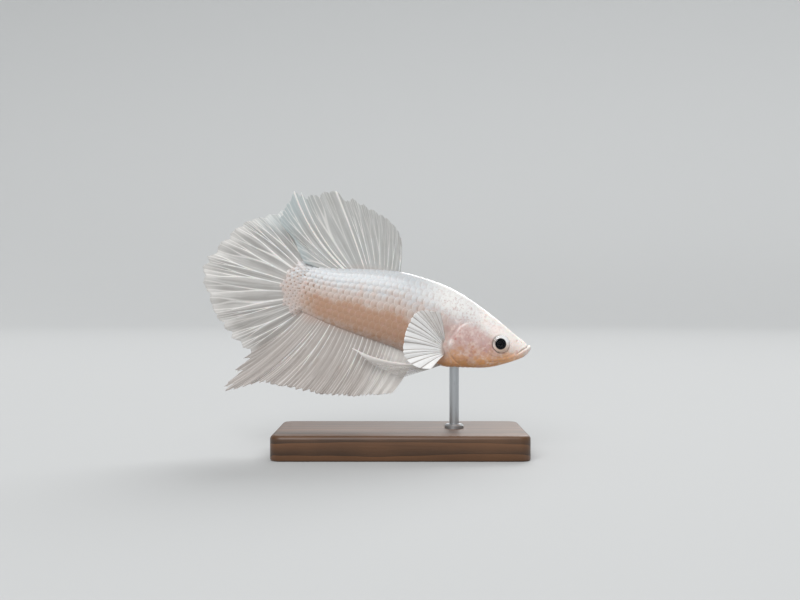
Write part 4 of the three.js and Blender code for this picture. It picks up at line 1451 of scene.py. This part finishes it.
# %% Join two grids round their edge
def sheet_faces(columns, rows):
    """Faces of a closed sheet of two grids, the outer one first."""
    count = columns * rows
    outer = grid_faces(columns, rows, closed=False)
    grid = np.arange(count).reshape(columns, rows)
    ring = np.concatenate([grid[0], grid[1:, -1], grid[-1, -2::-1], grid[-2:0:-1, 0]])
    ahead = np.roll(ring, -1)
    edge = np.column_stack([ahead, ring, ring + count, ahead + count])
    return np.vstack([outer, outer[:, ::-1] + count, edge])


print("faces of the smallest sheet:", len(sheet_faces(2, 2)))


# %% Build the webs
def web_sheet(label, name, side, columns, rows):
    fin = FINS[name]
    across, out = np.linspace(*fin.get("span", (0, 1)), columns), np.linspace(0, 1, rows) ** 0.9
    t, r = (grid.ravel() for grid in np.meshgrid(across, out, indexing="ij"))
    reach = r * (1 + (margin(fin, t) - 1) * ease(0.55, 1, r))
    away = from_rays(fin, t, r)
    fold = -fin["fold"] * np.sin(away * math.pi / 2) ** 2 * ease(0.02, 0.25, r)
    half = half_thickness(fin, t, r)
    points = np.vstack([fin_points(fin, t, reach, side, fold + face * half) for face in (1, -1)])
    faces = sheet_faces(columns, rows)
    first = points[faces[(columns - 1) * (rows - 1) // 2]]
    if np.cross(first[1] - first[0], first[2] - first[0])[1] * side < 0:
        faces = faces[:, ::-1]
    material = breast_web_material if name == "pectoral_fin" else web_material
    item = new_object(label, points, faces, material)
    lie = np.column_stack([ray_count(fin, t), 0.35 * r, np.zeros(len(t))])
    set_mask(item, "lie", np.tile(lie, (2, 1)))
    for mask, values in web_masks(name, t, r, away).items():
        set_mask(item, mask, np.tile(values, 2))
    return item


WEBS = [
    ("dorsal_web", "dorsal_fin", 1, 360, 64, "dorsal_fin"),
    ("anal_web", "anal_fin", 1, 520, 54, "anal_fin"),
    ("caudal_web", "caudal_fin", 1, 470, 70, "caudal_fin"),
    ("pectoral_web_right", "pectoral_fin", -1, 260, 44, "pectoral_fin_right"),
    ("pectoral_web_left", "pectoral_fin", 1, 260, 44, "pectoral_fin_left"),
    ("pelvic_web_right", "pelvic_fin", -1, 60, 60, "pelvic_fin_right"),
    ("pelvic_web_left", "pelvic_fin", 1, 60, 60, "pelvic_fin_left"),
]
for label, name, side, columns, rows, node in WEBS:
    finish_piece(web_sheet(label, name, side, columns, rows), "fin_membrane", node)

# %% [markdown]
# ## The scales on the root of the tail
# The scales don't stop where the body does. They run out on to the root of the tail fin, smaller and
# smaller, and hide where the rays begin. They could be an image on the web, but then the last real
# scales would end at a line. The same tiling serves: here the sheet's x runs out along the rays and its
# y across them, once for each face of the fin.

# %% Tile the tail's root
TAIL_START, TAIL_END, TAIL_STEP, TAIL_ACROSS = -0.06, 0.2, 0.025, 0.088
LEFT_FACE = 2  # what y is moved on by on the fin's left face


def on_tail(x, y, lift):
    left = y > LEFT_FACE - 0.5
    t = np.where(left, y - LEFT_FACE, y)
    fin = FINS["caudal_fin"]
    off = half_thickness(fin, t, x) + lift
    return fin_points(fin, t, x, 1, np.where(left, off, -off))


tail_spots = np.array([
    (x, y + face)
    for face in (0, LEFT_FACE)
    for column, x in enumerate(np.arange(TAIL_START, TAIL_END, TAIL_STEP))
    for y in np.arange(0.06 + 0.5 * TAIL_ACROSS * (column % 2), 0.96, TAIL_ACROSS)
    if x < TAIL_END - 0.045 - 0.06 * math.sin(17 * y) ** 2  # an uneven fringe
])
tail_x, tail_y = tail_spots.T
fade = 1 - ease(0.06, TAIL_END, tail_x)
tail_sizes = np.column_stack([
    (1.5 + 0.4 * fade) * TAIL_STEP * 2, TAIL_ACROSS * (0.64 + 0.18 * fade), 0.16 + 0.46 * fade,
])
tail_s, tail_h = shares(on_tail(tail_x + 0.02, tail_y, 0))
tail_turn = 0.25 + 0.5 * (tail_y > LEFT_FACE - 0.5) + 0.2 * (tail_y % 1 - 0.5)
tile("tail_root_scales", tail_spots, tail_sizes, (tail_s, tail_h, tail_turn), on_tail)

# %% [markdown]
# ## The rays as rods
# Each ray is a tapering rod that forks on its way to the margin. A path for every branch is drawn on
# the fin's surface, with a radius at each of its points. Curve objects with a bevel would do, but their
# taper is set by hand. Geometry Nodes turns the paths into curves and gives them their round section,
# and one tree serves all the fins.

# %% The rays' node tree
RAY_SIDES = 8


def ray_tree():
    """Round rods along the edges of a mesh, as thick as each vertex says."""
    group, given = node_tree("rays", ("Sides", "Int"), ("Material", "Material"))
    thickness = add(group, "GeometryNodeInputNamedAttribute", {"data_type": "FLOAT"}, Name="thickness")
    curves = add(group, "GeometryNodeMeshToCurve", Mesh=given.outputs["Geometry"])
    sized = add(group, "GeometryNodeSetCurveRadius", Curve=curves, Radius=thickness)
    section = add(group, "GeometryNodeCurvePrimitiveCircle", Resolution=given.outputs["Sides"], Radius=1.0)
    rods = add(
        group, "GeometryNodeCurveToMesh", Curve=sized, Profile_Curve=section, Scale=thickness, Fill_Caps=True
    )
    smooth = add(group, "GeometryNodeSetShadeSmooth", Geometry=rods)
    painted = add(group, "GeometryNodeSetMaterial", Geometry=smooth, Material=given.outputs["Material"])
    add(group, "NodeGroupOutput", {}, painted)
    return group


RAY_TREE = ray_tree()
print("nodes in the rays' tree:", len(RAY_TREE.nodes))

# %% Draw the branches
RAY_START, OVERLAP = 0.03, 0.04  # where rays leave the foot, and how far a branch runs on past a fork


def ray_paths(fin):
    """(t along the ray, r along it, radius) for every branch."""
    weights, first, second = ray_plan(fin)
    across = np.linspace(0, 1, 2001)
    counted = ray_count(fin, across)
    paths = []
    for index in range(fin["rays"]):
        a, b = first[index], second[index]
        starts, ends = (RAY_START, a, b), (a + OVERLAP, b + OVERLAP)
        stages = list(zip(starts, (*ends[: fin["splits"]], 1.0))) if a <= 1 else [(RAY_START, 1.0)]
        for depth, (start, end) in enumerate(stages):
            for branch in range(2**depth):
                r = np.linspace(start, end, 8 + int(26 * (end - start)))
                fork = (1 if branch % 2 else -1) * FIRST_SPREAD * ease(a, a + FIRST_OPEN, r) * (depth > 0)
                twig = (1 if branch // 2 else -1) * SECOND_SPREAD * ease(b, b + SECOND_OPEN, r) * (depth > 1)
                t = np.interp(index + 0.5 + fork + twig, counted, across)
                radius = fin["radius"] * weights[index] * (1.1 - 0.65 * r) * (1 - 0.08 * depth)
                paths.append((t, r * margin(fin, t[-1:])[0] ** ease(0.55, 1, r), radius))
    return paths


print("branches:", {name: len(ray_paths(fin)) for name, fin in FINS.items()})


# %% Build the rays
def build_rays(label, name, side):
    fin = FINS[name]
    points, edges, radii = [], [], []
    for t, r, radius in ray_paths(fin):
        first = len(points)
        points.extend(fin_points(fin, t, r, side))
        edges.extend((first + k, first + k + 1) for k in range(len(t) - 1))
        radii.extend(radius)
    item = new_object(label, points, [], edges=edges)
    set_mask(item, "thickness", np.array(radii) * MM)
    run_tree(item, RAY_TREE, Sides=RAY_SIDES, Material=ray_material)
    finish_piece(item, "fin_membrane")


for label, name, side, *_ in WEBS:
    build_rays(label.replace("web", "rays"), name, side)

# %% [markdown]
# ## The finish of the stand
# The fish swims, so it is held by a short steel rod let into a walnut base. Walnut's grain is rings
# stretched along its length, with fine pores. The rod is brushed along its length. Scanned textures of
# wood and metal could be wrapped round them. A wave and some noise, stretched the same way, have no seam
# and run through the block from its top to its ends, as real grain does.

# %% Walnut
# Oiled walnut: dark brown, streaked along the grain, with open pores and a low satin sheen.
walnut, tree = new_material("oiled_walnut")
where = add(tree, "ShaderNodeTexCoord").outputs["Object"]
stretched = add(tree, "ShaderNodeMapping", Vector=where, Scale=(0.12, 1.0, 1.0))
heart = add(tree, "ShaderNodeMapping", Vector=stretched, Location=(0.0, 0.014, 0.02))
growth = add(
    tree, "ShaderNodeTexWave", {"wave_type": "RINGS", "rings_direction": "X", "wave_profile": "SAW"},
    Vector=heart, Scale=150.0, Distortion=4.0, Detail=3.0, Detail_Scale=1.5,
).outputs["Fac"]
wood = add(tree, "ShaderNodeMix", RGBA, Factor_Float=growth, A_Color=srgb("#38230f"), B_Color=srgb("#6c4729"))
wood = mottled(tree, wood, "#7a5435", 60, 0.45, 0.75, 0.4)
flow = add(tree, "ShaderNodeTexNoise", Vector=stretched, Scale=260.0, Detail=4.0, Distortion=0.6)
streaked = add(tree, "ShaderNodeMapRange", Value=flow, From_Min=0.35, From_Max=0.7, To_Max=0.35)
wood = add(tree, "ShaderNodeMix", RGBA, Factor_Float=streaked, A_Color=wood, B_Color=srgb("#2c1b0e"))
long_pores = add(tree, "ShaderNodeMapping", Vector=where, Scale=(0.05, 1, 1))
_, bump = grain(tree, 3500.0, 1.0, 0.35, 0.00008, long_pores)
shader = add(
    tree, "ShaderNodeBsdfPrincipled", Base_Color=wood, Roughness=0.45, Normal=bump,
    Coat_Weight=0.15, Coat_Roughness=0.3,
)
add(tree, "ShaderNodeOutputMaterial", Surface=shader)
print("nodes in the walnut:", len(tree.nodes))

# %% Steel
# Brushed stainless steel: a metal whose fine strokes along the rod spread its highlight.
steel, tree = new_material("brushed_steel")
where = add(tree, "ShaderNodeTexCoord").outputs["Object"]
brushed = add(tree, "ShaderNodeMapping", Vector=where, Scale=(1.0, 1.0, 0.03))
strokes, bump = grain(tree, 9000.0, 2.0, 0.2, 0.00002, brushed)
rough = add(tree, "ShaderNodeMapRange", Value=strokes, To_Min=0.22, To_Max=0.4)
shader = add(
    tree, "ShaderNodeBsdfPrincipled", Base_Color=srgb("#b9bcbf"), Metallic=1.0, Roughness=rough, Normal=bump
)
add(tree, "ShaderNodeOutputMaterial", Surface=shader)
print("nodes in the steel:", len(tree.nodes))

# %% [markdown]
# ## The base and the rod
# The base's edges are rounded over, as a router would leave them. The rod stands in a thin steel collar.
# Both could be primitives with a bevel. Here each is a stack of outlines, one above the other, closed
# by a flat face at each end, and it takes its size from the solid it replaces.


# %% Build the base
def stack(name, outlines, material):
    """A closed form through outlines of equally many points, from the lowest to the highest."""
    rows, count = len(outlines), len(outlines[0])
    ends = [range(count)[::-1], range((rows - 1) * count, rows * count)]
    return new_object(name, np.vstack(outlines), [*grid_faces(rows, count), *ends], material)


def rounded_base():
    low, high = box_mm("stand_base")
    round_off, edge = 2.2, 0.7  # radii of the corners and of the upper edge, in mm
    middle, reach = (low + high)[:2] / 2, (high - low)[:2] / 2 - round_off
    centres, ways = [], []
    for quarter, corner in enumerate([(1, 1), (-1, 1), (-1, -1), (1, -1)]):
        for a in np.radians(90 * quarter + np.linspace(0, 90, 13)):
            centres.append(middle + reach * corner)
            ways.append((math.cos(a), math.sin(a)))
    rows = [(0.3, 0.0), (0.08, 0.08), (0.0, 0.3), (0.0, high[2] - edge)]  # how far in, and how high
    for a in np.radians(np.linspace(15, 90, 6)):
        rows.append((edge * (1 - math.cos(a)), high[2] - edge * (1 - math.sin(a))))
    centres, ways = np.array(centres), np.array(ways)
    outlines = [np.insert(centres + ways * (round_off - inset), 2, z, axis=1) for inset, z in rows]
    item = stack("base_block", outlines, walnut)
    for polygon in item.data.polygons[-2:]:
        polygon.use_smooth = False
    return item


finish_piece(rounded_base(), "walnut", "stand_base")


# %% Build the rod
ROD_SIDES = 64


def turned_rod():
    low, high = box_mm("stand_rod")
    floor = box_mm("stand_base")[1][2]
    x, y, radius = (low[0] + high[0]) / 2, (low[1] + high[1]) / 2, (high[0] - low[0]) / 2
    profile = [
        (radius, low[2]), (radius, floor - 0.1), (radius + 0.9, floor - 0.1), (radius + 0.9, floor + 0.5),
        (radius + 0.6, floor + 0.8), (radius + 0.05, floor + 0.8), (radius, floor + 0.85),
        (radius, high[2] - 0.2), (radius - 0.2, high[2]),
    ]
    angle = np.arange(ROD_SIDES) * 2 * math.pi / ROD_SIDES
    circle = np.column_stack([np.cos(angle), np.sin(angle)])
    outlines = [np.insert(r * circle + (x, y), 2, z, axis=1) for r, z in profile]
    item = stack("rod", outlines, steel)
    item.data.set_sharp_from_angle(angle=math.radians(35))
    return item


finish_piece(turned_rod(), "brushed_steel", "stand_rod")
